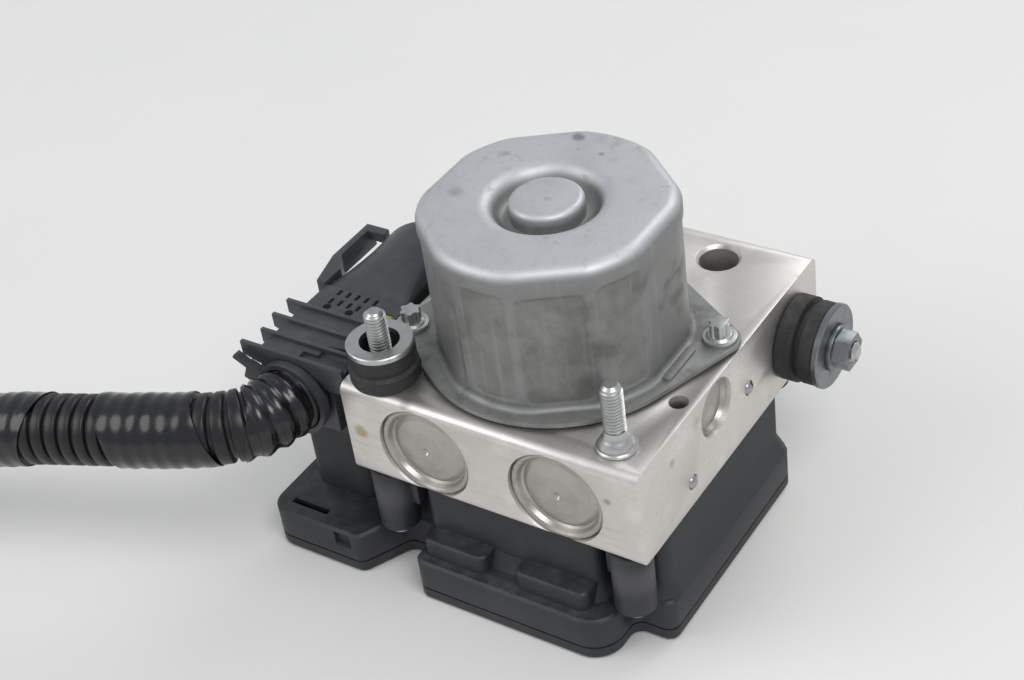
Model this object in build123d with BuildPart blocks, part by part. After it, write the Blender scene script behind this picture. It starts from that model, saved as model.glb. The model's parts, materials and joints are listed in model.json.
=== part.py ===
from build123d import *
import os

# Anti-lock brake unit: valve block, pump motor, controller, plug and a stub of its harness.
# Frame: millimetres, +Z up, +X along the front face of the block, +Y to the back.
# The origin is on the flat underside of the controller cover, below the centre of the block.

# ---------------------------------------------------------------- driving dimensions
# valve block
BLOCK_W = 92.0
BLOCK_D = 103.5
BLOCK_H = 30.6
BLOCK_EDGE_R = 2.8
BLOCK_Z = 38.0

# pump motor
MOTOR_Y = -9.3
CAN_R = 34.9
CAN_FLAT = 33.4
CAN_FLAT_ANGLES = (0, 50, 122, 180, 230, 302)
CAN_FLAT_BLEND = 15.0
CAN_WAIST = 0.5
CAN_LID_H = 6.5
CAN_HEIGHT = 46.0
CAN_WALL = 1.8
CAN_TOP_R = 3.6
CAN_BASE_R = 1.8
GASKET_T = 0.9
FLANGE_T = 1.3
FLANGE_R = 38.8
EAR_R = 5.6
EAR_OUT = 4.0
EAR_ANGLE = 19.5
CUP_R = 18.6
CUP_SHOULDER_R = 14.4
CUP_SHOULDER_DEPTH = 2.4
SLIT_W = 1.3
SLIT_L = 4.0
SLIT_DEPTH = 0.7
SLITS = ((-91.0, 91.4, 0), (-28.0, 75.6, 90))
CUP_DEPTH = 5.2
BOSS_R = 10.0
BOSS_RISE = 0.4
BOSS_EDGE_R = 1.6
BEAD_L = 15.0
BEAD_W = 2.6
BEAD_H = 0.9

# rotor
SHAFT_R = 4.0
ECC_THROW = 1.3
ECC_R = 5.6
ECC_L = 10.0
ECC_RING_R = 8.6
ARMATURE_R = 25.0
ARMATURE_L = 17.0
ARMATURE_SLOTS = 12
COMMUTATOR_R = 10.0
COMMUTATOR_L = 8.0
MAGNET_T = 5.6
MAGNET_L = 24.0
MAGNET_SPAN = 130.0
BEARING_R = 11.0
BEARING_L = 5.0
BUSH_L = 4.6

# pump
PUMP_Z = 59.6
PLUNGER_R = 4.0
PUMP_PLUG_R = 8.4
PUMP_PLUG_L = 8.0
PUMP_PLUG_RECESS = 1.6
PUMP_SPRING_L = 9.0

# accumulators
ACC_X = 20.7
ACC_Z = 52.6
ACC_BORE_R = 11.2
ACC_DEPTH = 27.0
ACC_CAP_R = 14.3
ACC_CAP_L = 6.0
ACC_PISTON_L = 9.0

# valves and coils
VALVE_XS = (-33.0, -11.0, 11.0, 33.0)
VALVE_YS = (-6.0, 17.0)
VALVE_R = 4.9
VALVE_BORE = 11.0
VALVE_STEM_R = 3.4
VALVE_STEM_L = 18.0
COIL_R = 7.6
COIL_L = 15.0

# ports and small holes
PORT_X = 21.5
PORT_Y = 40.3
PORT_R = 5.7
PORT_DEPTHS = (12.6, 11.0)
PORT_SINK_R = 6.6
WHEEL_PORT_XS = (-33.5, -12.5, 12.5, 33.5)
WHEEL_PORT_Z = 47.6
WHEEL_PORT_R = 4.7
WHEEL_PORT_DEPTHS = (11.0, 11.7, 12.4, 13.1)
TAP_X = 41.4
TAP_Y = -20.6
TAP_R = 2.7
TAP_DEPTH = 12.0
BALL_SPOTS = ((9.0, 52.5), (-24.1, 45.4))
BALL_R = 2.2
BALL_SINK = 0.9
BALL_BORE = 6.0

# studs and bushings
STUD_R = 3.0
STUD_FOOT_R = 2.6
STUD_GRIP = 9.0
FRONT_STUD_X = 35.6
FRONT_STUD_Y = -42.5
FRONT_STUD_H = 20.6
FRONT_STUD_FLANGE_R = 5.5
FRONT_STUD_NECK = 5.6
LEFT_STUD_X = -36.4
LEFT_STUD_Y = -42.7
LEFT_STUD_H = 21.6
LEFT_STUD_SHANK = 12.4
LEFT_RUBBER_R = 9.4
LEFT_RUBBER_BULGE = 0.3
LEFT_RUBBER_H = 10.4
LEFT_RING_R = 9.3
LEFT_RING_HOLE_R = 5.6
LEFT_RING_T = 1.6
RIGHT_STUD_Y = 35.0
RIGHT_STUD_Z = 52.2
RIGHT_STUD_L = 20.5
RIGHT_RUBBER_R = 12.4
RIGHT_RUBBER_L = 11.8
RIGHT_GROOVE_R = 10.6
RIGHT_WASHER_R = 12.3
RIGHT_WASHER_T = 1.7
NUT_L = 5.6
NUT_FLANGE_R = 6.9
NUT_AF = 10.0

# controller housing
RIM_TOP = 14.5
COVER_H = 4.1
COVER_EDGE_R = 1.6
SEAM_H = 0.6
SEAM_INSET = 0.7
RIM_WALL = 2.0
RIM_LEFT = -28.2
RIM_RIGHT = 46.5
RIM_FRONT = -56.4
RIM_BACK = 31.6
NOTCH_X = 34.6
NOTCH_Y = -41.0
LOBE_LEFT = -80.6
LOBE_RIGHT = -47.8
GAP_LEFT = -40.0
GAP_Y = -41.6
LOBE_FRONT = -56.2
LOBE_BACK = 18.0
UPPER_INSET = 2.5
UPPER_FRONT = -47.0
UPPER_FRONT_HALF = 28.2
UPPER_STEP_Y = -38.4
UPPER_BACK_INSET = 1.0
UPPER_CORNER_R = 4.0
UPPER_WALL = 2.4
SHOULDER_H = 4.8
PAD_XS = ((-26.4, -5.7), (3.7, 26.9))
PAD_TOP = 20.4
PAD_REACH = 6.2
PAD_ROOT = 6.0
PAD_CORNER_R = 2.8
PAD_EDGE_R = 1.2
SCREW_X = 38.6
SCREW_FRONT_Y = -46.0
SCREW_BACK_Y = 34.6
SCREW_R = 2.0
SCREW_BOSS_R = 5.8
SCREW_BOSS_L = 20.4
SCREW_EAR_L = 4.0
SCREW_HEAD_R = 3.6
SCREW_HEAD_H = 2.4
BOARD_Z = 7.2
BOARD_T = 1.6

# socket and harness plug
SOCKET_LEFT = -74.6
SOCKET_RIGHT = -52.0
SOCKET_FRONT = -41.0
SOCKET_BACK = 9.0
SOCKET_TOP = 56.0
SOCKET_WALL = 1.8
SOCKET_CORNER_R = 4.6
SOCKET_FLOOR = 4.0
PIN_T = 0.8
PIN_ROWS = 3
PIN_COLUMNS = 8
PIN_PITCH_X = 4.6
PIN_PITCH_Y = 5.4
PIN_TOP = 46.0
PLUG_LEFT = -77.0
PLUG_RIGHT = -48.4
PLUG_FRONT = -43.0
PLUG_BACK = 13.0
PLUG_BOTTOM = 40.0
PLUG_TOP = 61.0
DECK_Z = 68.6
CORE_BOTTOM = 24.0
SEAL_Z = 44.0
SEAL_H = 4.0
SEAL_T = 1.3
RIB_YS = (-27.3, -34.4, -41.4, -48.2)
RIB_LEFTS = (-82.2, -82.0, -80.6, -82.6)
RIB_T = 1.2
RIB_RISE = 1.4
RIB_RIGHT = -47.2
RIB_BOTTOM = 64.0
DOME_FRONT = -15.5
DOME_BACK = 13.0
DOME_TOP = 78.8
DOME_MID = -5.0
DOME_MID_TOP = 74.4
DOME_SHOULDER = 67.8
SLOT_MID = (-64.5, -19.4)
SLOT_PITCH = 3.2
SLOT_ROW = 4.2
SLOT_COLUMNS = 5
SLOT_W = 1.2
SLOT_L = 2.6
SLOT_DEPTH = 1.2
TOOL_HOLE_XS = (-70.4, -62.6)
TOOL_HOLE_Y = -24.2
TOOL_HOLE_R = 1.3
STEP_DEPTH = 1.3
STEP_LEFT = -64.0
LOCK_X = -52.0
LOCK_Y = -22.6
LOCK_W = 5.0
LOCK_L = 4.6
LOCK_H = 3.0
LEVER_LEFT = -83.4
LEVER_T = 3.0
LEVER_ARM = 2.2
LEVER_BAR_L = 8.0
LEVER_BAR_H = 3.2
LEVER_GAP = 0.3
LEVER_HUB_Y = -12.0
LEVER_HUB_Z = 65.5
LEVER_HUB_R = 3.9
LEVER_PIN_R = 1.8
TRUNNION_ROOT = 2.0
LEVER_BACK = 14.0
LEVER_TOP = 69.4
LEVER_DEPTH = 7.0

# harness conduit
CONDUIT_R = 10.2
CONDUIT_START = (-65.5, -43.0, 56.5)
COLLAR_R = 11.6
COLLAR_FRONT = -46.6
COLLAR_BOTTOM = 45.0
TIE_T = 1.4
TIE_W = 2.6
TIE_Y = -50.4
TIE_ANGLE = 158.0
WIRE_R = 1.1
WIRE_STUB = 9.0

# clearances
FIT = 0.05
PLAY = 0.3
SEAT = 0.02

# ---------------------------------------------------------------- derived places
BLOCK_TOP = BLOCK_Z + BLOCK_H
FRONT = -BLOCK_D / 2
BACK = BLOCK_D / 2
SIDE = BLOCK_W / 2
GASKET_Z = BLOCK_TOP
FLANGE_Z = GASKET_Z + GASKET_T
FLANGE_TOP = FLANGE_Z + FLANGE_T
EAR_REACH = FLANGE_R + EAR_OUT
CAN_TOP = BLOCK_TOP + CAN_HEIGHT
CHAMBER_Z = PUMP_Z - ECC_L / 2 - 3.0
BEARING_Z = PUMP_Z + ECC_L / 2 + 0.4
BRUSH_PLATE_Z = BEARING_Z + BEARING_L + 0.6
BRUSH_PLATE_T = 2.4
COMMUTATOR_Z = BRUSH_PLATE_Z + BRUSH_PLATE_T + 0.8
ARMATURE_Z = COMMUTATOR_Z + COMMUTATOR_L + 3.0
MAGNET_R = CAN_FLAT - CAN_WALL - SEAT
MAGNET_Z = ARMATURE_Z + ARMATURE_L / 2 - MAGNET_L / 2
BUSH_R = BOSS_R - CAN_WALL - FIT
BUSH_Z = CAN_TOP + BOSS_RISE - CAN_WALL - BUSH_L - PLAY
SHAFT_TOP = BUSH_Z + BUSH_L - 0.6
SEAM_Z = COVER_H
UPPER_HALF = RIM_RIGHT - UPPER_INSET
UPPER_BACK = RIM_BACK - UPPER_BACK_INSET
SOCKET_MID = ((SOCKET_LEFT + SOCKET_RIGHT) / 2, (SOCKET_FRONT + SOCKET_BACK) / 2)
RIM_Z = COVER_H + SEAM_H


def polar(radius, angle):
    """Point at a radius and an angle in degrees round the motor axis."""
    reach = Vector(radius, 0, 0).rotate(Axis.Z, angle)
    return (reach.X, reach.Y + MOTOR_Y)


def lathe(points, origin, direction, side):
    """Solid turned about an axis; points are (radius, distance along the axis)."""
    plane = Plane(origin=origin, x_dir=side, z_dir=Vector(*side).cross(Vector(*direction)))
    with BuildPart() as turned:
        with BuildSketch(plane):
            with BuildLine():
                Polyline(*points, close=True)
            make_face()
        revolve(axis=Axis(origin, direction))
    return turned


def upright(points, x, y, z):
    """Solid turned about a vertical axis."""
    return lathe(points, (x, y, z), (0, 0, 1), (1, 0, 0))


def rim_outline(inset, height):
    """Face of the controller's rim outline, drawn in by an inset, at a height."""
    with BuildSketch(Plane.XY.offset(height)) as outline:
        with BuildLine():
            Polyline(
                (LOBE_LEFT, LOBE_FRONT),
                (LOBE_RIGHT, LOBE_FRONT),
                (GAP_LEFT, GAP_Y),
                (RIM_LEFT, GAP_Y),
                (RIM_LEFT, RIM_FRONT),
                (NOTCH_X, RIM_FRONT),
                (NOTCH_X, NOTCH_Y),
                (RIM_RIGHT, NOTCH_Y),
                (RIM_RIGHT, RIM_BACK),
                (-RIM_RIGHT, RIM_BACK),
                (-RIM_RIGHT, LOBE_BACK),
                (LOBE_LEFT, LOBE_BACK),
                close=True,
            )
        make_face()
        corners = outline.vertices()
        fillet(corners.filter_by(lambda v: v.Y < RIM_FRONT + 0.1 and v.X > 0), radius=9.0)
        fillet(outline.vertices().filter_by(lambda v: v.X < LOBE_LEFT + 0.1), radius=6.5)
        rest = outline.vertices().filter_by(
            lambda v: v.X > LOBE_LEFT + 10 and not (v.X > 20 and v.Y < RIM_FRONT + 12)
        )
        fillet(rest, radius=3.4)
        if inset:
            offset(amount=-inset, mode=Mode.REPLACE)
    return outline.sketch


def upper_outline(inset, height):
    """Face of the coil housing's outline at a height."""
    with BuildSketch(Plane.XY.offset(height)) as outline:
        with BuildLine():
            Polyline(
                (-UPPER_FRONT_HALF, UPPER_FRONT),
                (UPPER_FRONT_HALF, UPPER_FRONT),
                (UPPER_FRONT_HALF, UPPER_STEP_Y),
                (UPPER_HALF, UPPER_STEP_Y),
                (UPPER_HALF, UPPER_BACK),
                (-UPPER_HALF, UPPER_BACK),
                (-UPPER_HALF, UPPER_STEP_Y),
                (-UPPER_FRONT_HALF, UPPER_STEP_Y),
                close=True,
            )
        make_face()
        fillet(outline.vertices(), radius=UPPER_CORNER_R)
        if inset:
            offset(amount=-inset, mode=Mode.REPLACE)
    return outline.sketch


def can_outline(inset, height):
    """Face of the motor can: a circle with flats, drawn in by an inset."""
    with BuildSketch(Plane.XY.offset(height)) as outline:
        with Locations((0, MOTOR_Y)):
            Circle(CAN_R)
        for angle in CAN_FLAT_ANGLES:
            spot = polar(CAN_FLAT + CAN_R / 2, angle)
            with Locations(Location((spot[0], spot[1], 0), (0, 0, angle))):
                Rectangle(CAN_R, 2 * CAN_R, mode=Mode.SUBTRACT)
        fillet(outline.vertices(), radius=CAN_FLAT_BLEND)
        if inset:
            offset(amount=-inset, mode=Mode.REPLACE)
    return outline.sketch


def flange_outline(inset, height):
    """Face of the motor flange: a disc drawn out into two screw ears."""
    with BuildSketch(Plane.XY.offset(height)) as outline:
        with Locations((0, MOTOR_Y)):
            Circle(FLANGE_R - inset)
        with Locations(polar(EAR_REACH, EAR_ANGLE), polar(EAR_REACH, EAR_ANGLE + 180)):
            Circle(EAR_R - inset)
        make_hull()
        # relief for the bushing that stands beside the flange
        with Locations((LEFT_STUD_X, LEFT_STUD_Y)):
            Circle(LEFT_RUBBER_R + LEFT_RUBBER_BULGE + PLAY, mode=Mode.SUBTRACT)
    return outline.sketch


# ---------------------------------------------------------------- valve block
with BuildPart() as hydraulic_block:
    with BuildSketch(Plane.YZ.offset(-SIDE)):
        with Locations((0, BLOCK_Z + BLOCK_H / 2)):
            RectangleRounded(BLOCK_D, BLOCK_H, BLOCK_EDGE_R)
    extrude(amount=BLOCK_W)
    # chamber of the motor's eccentric
    with Locations((0, MOTOR_Y, BLOCK_TOP)):
        Hole(radius=BEARING_R + FIT, depth=BLOCK_TOP - CHAMBER_Z)
    # pump bores, one from each side
    for side in (-1, 1):
        with Locations(Plane(origin=(side * SIDE, MOTOR_Y, PUMP_Z), z_dir=(side, 0, 0))):
            CounterBoreHole(
                radius=PLUNGER_R + FIT,
                counter_bore_radius=PUMP_PLUG_R + FIT,
                counter_bore_depth=PUMP_PLUG_RECESS + PUMP_PLUG_L,
                depth=SIDE,
            )
    # accumulator bores in the front face
    for x in (-ACC_X, ACC_X):
        with Locations(Plane(origin=(x, FRONT, ACC_Z), z_dir=(0, -1, 0))):
            CounterBoreHole(
                radius=ACC_BORE_R,
                counter_bore_radius=ACC_CAP_R + FIT,
                counter_bore_depth=ACC_CAP_L,
                depth=ACC_DEPTH,
            )
    # master cylinder ports in the top
    for x, depth in zip((-PORT_X, PORT_X), PORT_DEPTHS):
        with Locations((x, PORT_Y, BLOCK_TOP)):
            CounterSinkHole(radius=PORT_R, counter_sink_radius=PORT_SINK_R, depth=depth)
    # wheel ports in the back
    for x, depth in zip(WHEEL_PORT_XS, WHEEL_PORT_DEPTHS):
        with Locations(Plane(origin=(x, BACK, WHEEL_PORT_Z), z_dir=(0, 1, 0))):
            CounterSinkHole(
                radius=WHEEL_PORT_R,
                counter_sink_radius=WHEEL_PORT_R + 0.8,
                depth=depth,
            )
    # tapped hole and the stud holes in the top
    with Locations((TAP_X, TAP_Y, BLOCK_TOP)):
        Hole(radius=TAP_R, depth=TAP_DEPTH)
    stud_spots = (
        (FRONT_STUD_X, FRONT_STUD_Y, BLOCK_TOP),
        (LEFT_STUD_X, LEFT_STUD_Y, BLOCK_TOP),
    )
    with Locations(*stud_spots):
        Hole(radius=STUD_FOOT_R + FIT, depth=STUD_GRIP + PLAY)
    with Locations(Plane(origin=(SIDE, RIGHT_STUD_Y, RIGHT_STUD_Z), z_dir=(1, 0, 0))):
        Hole(radius=STUD_FOOT_R + FIT, depth=STUD_GRIP + PLAY)
    # motor screw holes
    ear_spots = [polar(EAR_REACH, EAR_ANGLE), polar(EAR_REACH, EAR_ANGLE + 180)]
    with Locations(*[(x, y, BLOCK_TOP) for x, y in ear_spots]):
        Hole(radius=2.5 + FIT, depth=10.0)
    # sealed cross drillings in the right face
    for y, z in BALL_SPOTS:
        with Locations(Plane(origin=(SIDE, y, z), z_dir=(1, 0, 0))):
            Hole(radius=BALL_R + SEAT, depth=BALL_BORE)
    # valve bores and controller screw holes from below
    under = Plane(origin=(0, 0, BLOCK_Z), x_dir=(1, 0, 0), z_dir=(0, 0, -1))
    with Locations(under):
        with Locations(*[(x, -y) for x in VALVE_XS for y in VALVE_YS]):
            Hole(radius=VALVE_R + FIT, depth=VALVE_BORE)
        with Locations(*[(s * SCREW_X, -y) for s in (-1, 1) for y in (SCREW_FRONT_Y, SCREW_BACK_Y)]):
            Hole(radius=SCREW_R + FIT, depth=9.0)
hydraulic_block.part.label = "hydraulic_block"

# ---------------------------------------------------------------- motor can
with BuildPart() as can_cavity:
    add(can_outline(CAN_WALL, FLANGE_Z - 1))
    extrude(amount=CAN_TOP - CAN_WALL - FLANGE_Z + 1)
    # the pressed cup in the lid hangs into the cavity
    with Locations((0, MOTOR_Y, CAN_TOP)):
        Cylinder(
            CUP_R + CAN_WALL,
            2 * (CUP_DEPTH + CAN_WALL),
            mode=Mode.SUBTRACT,
        )
    # pocket of the bearing bush inside the boss
    with Locations((0, MOTOR_Y, CAN_TOP + BOSS_RISE - CAN_WALL)):
        Cylinder(
            BOSS_R - CAN_WALL,
            CUP_DEPTH + BOSS_RISE + CAN_WALL + 0.5,
            align=(Align.CENTER, Align.CENTER, Align.MAX),
        )

with BuildPart() as motor_can:
    add(flange_outline(0, FLANGE_Z))
    extrude(amount=FLANGE_T)
    add(can_outline(CAN_WAIST, FLANGE_Z))
    extrude(amount=CAN_TOP - CAN_LID_H - FLANGE_Z)
    # the rolled lid edge stands a little proud of the drawn body
    add(can_outline(CAN_WAIST, CAN_TOP - CAN_LID_H - 1.5))
    add(can_outline(0, CAN_TOP - CAN_LID_H))
    loft()
    add(can_outline(0, CAN_TOP - CAN_LID_H))
    extrude(amount=CAN_LID_H)
    fillet(motor_can.edges().group_by(Axis.Z)[-1], radius=CAN_TOP_R)
    foot = motor_can.edges().filter_by(
        lambda e: abs((e @ 0.5).Z - FLANGE_TOP) < 0.01
        and ((e @ 0.5) - Vector(0, MOTOR_Y, FLANGE_TOP)).length < CAN_R + 0.2
    )
    fillet(foot, radius=CAN_BASE_R)
    # annular cup round the boss
    cup_plane = Plane(origin=(0, MOTOR_Y, CAN_TOP), x_dir=(1, 0, 0), z_dir=(0, -1, 0))
    with BuildSketch(cup_plane):
        with BuildLine():
            Polyline(
                (0, 1),
                (0, -CUP_DEPTH),
                (BOSS_R + 1.8, -CUP_DEPTH),
            )
            Spline(
                (BOSS_R + 1.8, -CUP_DEPTH), (CUP_SHOULDER_R, -CUP_SHOULDER_DEPTH), (CUP_R, 0),
                tangents=((1, 0.3), (1, 0)),
            )
            Polyline((CUP_R, 0), (CUP_R, 1), (0, 1))
        make_face()
    revolve(axis=Axis((0, MOTOR_Y, 0), (0, 0, 1)), mode=Mode.SUBTRACT)
    with BuildSketch(cup_plane):
        with BuildLine():
            Line((0, BOSS_RISE), (BOSS_R - BOSS_EDGE_R, BOSS_RISE))
            CenterArc((BOSS_R - BOSS_EDGE_R, BOSS_RISE - BOSS_EDGE_R), BOSS_EDGE_R, 0, 90)
            Polyline(
                (BOSS_R, BOSS_RISE - BOSS_EDGE_R), (BOSS_R, -CUP_DEPTH), (0, -CUP_DEPTH), (0, BOSS_RISE)
            )
        make_face()
    revolve(axis=Axis((0, MOTOR_Y, 0), (0, 0, 1)))
    # two small staking notches in the body
    for angle, height, turn in SLITS:
        spot = polar(CAN_FLAT - CAN_WAIST, angle)
        with Locations(Location((spot[0], spot[1], height), (0, 0, angle))):
            with Locations(Location((0, 0, 0), (turn, 0, 0))):
                Box(2 * SLIT_DEPTH, SLIT_W, SLIT_L, mode=Mode.SUBTRACT)
    # pressed stiffening beads beside the can
    for turn in (0, 180):
        spot = polar(CAN_FLAT + 2.4, turn)
        with BuildSketch(Plane.XY.offset(FLANGE_TOP - 0.4)):
            with Locations(Location((spot[0], spot[1], 0), (0, 0, 90))):
                SlotOverall(BEAD_L, BEAD_W)
        extrude(amount=BEAD_H + 0.4)
    add(can_cavity.part, mode=Mode.SUBTRACT)
    with Locations(*[(x, y, FLANGE_TOP) for x, y in ear_spots]):
        Hole(radius=2.8, depth=FLANGE_T + 1)
motor_can.part.label = "motor_can"

with BuildPart() as motor_gasket:
    add(flange_outline(0.5, GASKET_Z))
    extrude(amount=GASKET_T)
    with Locations((0, MOTOR_Y, FLANGE_Z)):
        Hole(radius=CAN_FLAT - CAN_WALL, depth=GASKET_T)
    with Locations(*[(x, y, FLANGE_Z) for x, y in ear_spots]):
        Hole(radius=2.8, depth=GASKET_T)
motor_gasket.part.label = "motor_gasket"

# lobed-head flange screws
with BuildPart() as motor_screws:
    for x, y in ear_spots:
        with Locations((x, y, FLANGE_TOP)):
            Cylinder(4.7, 1.2, align=(Align.CENTER, Align.CENTER, Align.MIN))
        with Locations((x, y, FLANGE_TOP + 1.2)):
            Cone(3.9, 3.2, 0.7, align=(Align.CENTER, Align.CENTER, Align.MIN))
        with BuildSketch(Plane.XY.offset(FLANGE_TOP + 1.9)):
            with Locations((x, y)):
                Circle(2.35)
                with PolarLocations(2.25, 6):
                    Circle(0.75)
        extrude(amount=3.6)
        with Locations((x, y, FLANGE_TOP)):
            Cylinder(2.5, 11.0, align=(Align.CENTER, Align.CENTER, Align.MAX))
motor_screws.part.label = "motor_screws"

# ---------------------------------------------------------------- motor inside
with BuildPart() as motor_magnets:
    for turn in (0, 180):
        with BuildSketch(Plane.XY.offset(MAGNET_Z)):
            with BuildLine():
                half = MAGNET_SPAN / 2
                centre = (0, MOTOR_Y)
                outer = CenterArc(centre, MAGNET_R, turn - half, MAGNET_SPAN)
                inner = CenterArc(centre, MAGNET_R - MAGNET_T, turn - half, MAGNET_SPAN)
                Line(outer @ 0, inner @ 0)
                Line(outer @ 1, inner @ 1)
            make_face()
        extrude(amount=MAGNET_L)
motor_magnets.part.label = "motor_magnets"

with BuildPart() as brush_plate:
    with BuildSketch(Plane.XY.offset(BRUSH_PLATE_Z)):
        with Locations((0, MOTOR_Y)):
            Circle(MAGNET_R)
            Circle(BEARING_R - 1.5, mode=Mode.SUBTRACT)
    extrude(amount=BRUSH_PLATE_T)
    for turn in (90, 270):
        spot = polar(COMMUTATOR_R + 8.5, turn)
        with Locations(Location((spot[0], spot[1], BRUSH_PLATE_Z + BRUSH_PLATE_T), (0, 0, turn))):
            Box(14, 9, 7, align=(Align.CENTER, Align.CENTER, Align.MIN))
            Box(20, 6, 5, align=(Align.CENTER, Align.CENTER, Align.MIN), mode=Mode.SUBTRACT)
brush_plate.part.label = "brush_plate"

with BuildPart() as motor_brushes:
    for turn in (90, 270):
        spot = polar(COMMUTATOR_R + PLAY, turn)
        with Locations(Location((spot[0], spot[1], BRUSH_PLATE_Z + BRUSH_PLATE_T + SEAT), (0, 0, turn))):
            Box(11, 5.8, 4.8, align=(Align.MIN, Align.CENTER, Align.MIN))
motor_brushes.part.label = "motor_brushes"

# shaft with its eccentric journal
with BuildPart() as rotor_shaft:
    with Locations((0, MOTOR_Y, CHAMBER_Z + 0.6)):
        Cylinder(SHAFT_R, SHAFT_TOP - CHAMBER_Z - 0.6, align=(Align.CENTER, Align.CENTER, Align.MIN))
    with Locations((ECC_THROW, MOTOR_Y, PUMP_Z - ECC_L / 2)):
        Cylinder(ECC_R, ECC_L, align=(Align.CENTER, Align.CENTER, Align.MIN))
rotor_shaft.part.label = "rotor_shaft"

with BuildPart() as eccentric_bearing:
    with Locations((ECC_THROW, MOTOR_Y, PUMP_Z - ECC_L / 2 + 0.4)):
        Cylinder(ECC_RING_R, ECC_L - 0.8, align=(Align.CENTER, Align.CENTER, Align.MIN))
        Cylinder(ECC_R + SEAT, ECC_L, align=(Align.CENTER, Align.CENTER, Align.MIN), mode=Mode.SUBTRACT)
eccentric_bearing.part.label = "eccentric_bearing"

with BuildPart() as armature:
    with BuildSketch(Plane.XY.offset(ARMATURE_Z)):
        with Locations((0, MOTOR_Y)):
            Circle(ARMATURE_R)
            Circle(SHAFT_R + SEAT, mode=Mode.SUBTRACT)
            with PolarLocations(ARMATURE_R - 4.5, ARMATURE_SLOTS):
                SlotOverall(10, 3.0, mode=Mode.SUBTRACT)
    extrude(amount=ARMATURE_L)
    # winding heads above and below the laminations
    for z in (ARMATURE_Z - 2.2, ARMATURE_Z + ARMATURE_L):
        with BuildSketch(Plane.XY.offset(z)):
            with Locations((0, MOTOR_Y)):
                Circle(ARMATURE_R - 3.0)
                Circle(SHAFT_R + 2.0, mode=Mode.SUBTRACT)
        extrude(amount=2.2)
armature.part.label = "armature"

with BuildPart() as commutator:
    with BuildSketch(Plane.XY.offset(COMMUTATOR_Z)):
        with Locations((0, MOTOR_Y)):
            Circle(COMMUTATOR_R)
            Circle(SHAFT_R + SEAT, mode=Mode.SUBTRACT)
            with PolarLocations(COMMUTATOR_R, ARMATURE_SLOTS):
                Rectangle(1.6, 0.6, mode=Mode.SUBTRACT)
    extrude(amount=COMMUTATOR_L)
commutator.part.label = "commutator"

shaft_bearing = upright(
    [(SHAFT_R + FIT, 0), (BEARING_R, 0), (BEARING_R, BEARING_L), (SHAFT_R + FIT, BEARING_L)],
    0, MOTOR_Y, BEARING_Z,
)
shaft_bearing.part.label = "shaft_bearing"
bearing_bush = upright(
    [(SHAFT_R + FIT, 0), (BUSH_R, 0), (BUSH_R, BUSH_L), (SHAFT_R + FIT, BUSH_L)],
    0, MOTOR_Y, BUSH_Z,
)
bearing_bush.part.label = "bearing_bush"

# ---------------------------------------------------------------- pumps
PLUNGER_START = ECC_RING_R + ECC_THROW + PLAY
PLUG_INNER = SIDE - PUMP_PLUG_RECESS - PUMP_PLUG_L
PLUNGER_L = PLUG_INNER - PUMP_SPRING_L - PLUNGER_START


def pump_set(side):
    """Plug, plunger and return spring of one pump; side is -1 left or +1 right."""
    out = (side, 0, 0)
    plug_face = PUMP_PLUG_L
    plug = lathe(
        [
            (0, 0), (PUMP_PLUG_R - 0.8, 0), (PUMP_PLUG_R, 0.8), (PUMP_PLUG_R, plug_face),
            (PUMP_PLUG_R - 1.3, plug_face + 0.5), (PUMP_PLUG_R - 2.0, plug_face - 0.6),
            (0, plug_face - 0.6),
        ],
        (side * PLUG_INNER, MOTOR_Y, PUMP_Z), out, (0, 1, 0),
    )
    plunger = lathe(
        [
            (0, 0), (PLUNGER_R - 0.5, 0), (PLUNGER_R, 0.8), (PLUNGER_R, PLUNGER_L - 2),
            (PLUNGER_R - 1.4, PLUNGER_L - 2), (PLUNGER_R - 1.4, PLUNGER_L), (0, PLUNGER_L),
        ],
        (side * PLUNGER_START, MOTOR_Y, PUMP_Z), out, (0, 1, 0),
    )
    spring = lathe(
        [
            (PLUNGER_R - 1.2, -1.6), (PLUNGER_R - 0.3, -1.6), (PLUNGER_R - 0.3, PUMP_SPRING_L),
            (PLUNGER_R - 1.2, PUMP_SPRING_L),
        ],
        (side * (PLUG_INNER - PUMP_SPRING_L), MOTOR_Y, PUMP_Z), out, (0, 1, 0),
    )
    return plug, plunger, spring


right_plug, right_plunger, right_spring = pump_set(1)
left_plug, left_plunger, left_spring = pump_set(-1)
right_plug.part.label = "pump_plug_right"
right_plunger.part.label = "pump_plunger_right"
right_spring.part.label = "pump_spring_right"
left_plug.part.label = "pump_plug_left"
left_plunger.part.label = "pump_plunger_left"
left_spring.part.label = "pump_spring_left"

# ---------------------------------------------------------------- accumulators
CAP_BACK = FRONT + ACC_CAP_L
PISTON_Y = FRONT + ACC_DEPTH - ACC_PISTON_L
SPRING_GAP = PISTON_Y - CAP_BACK


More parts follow.
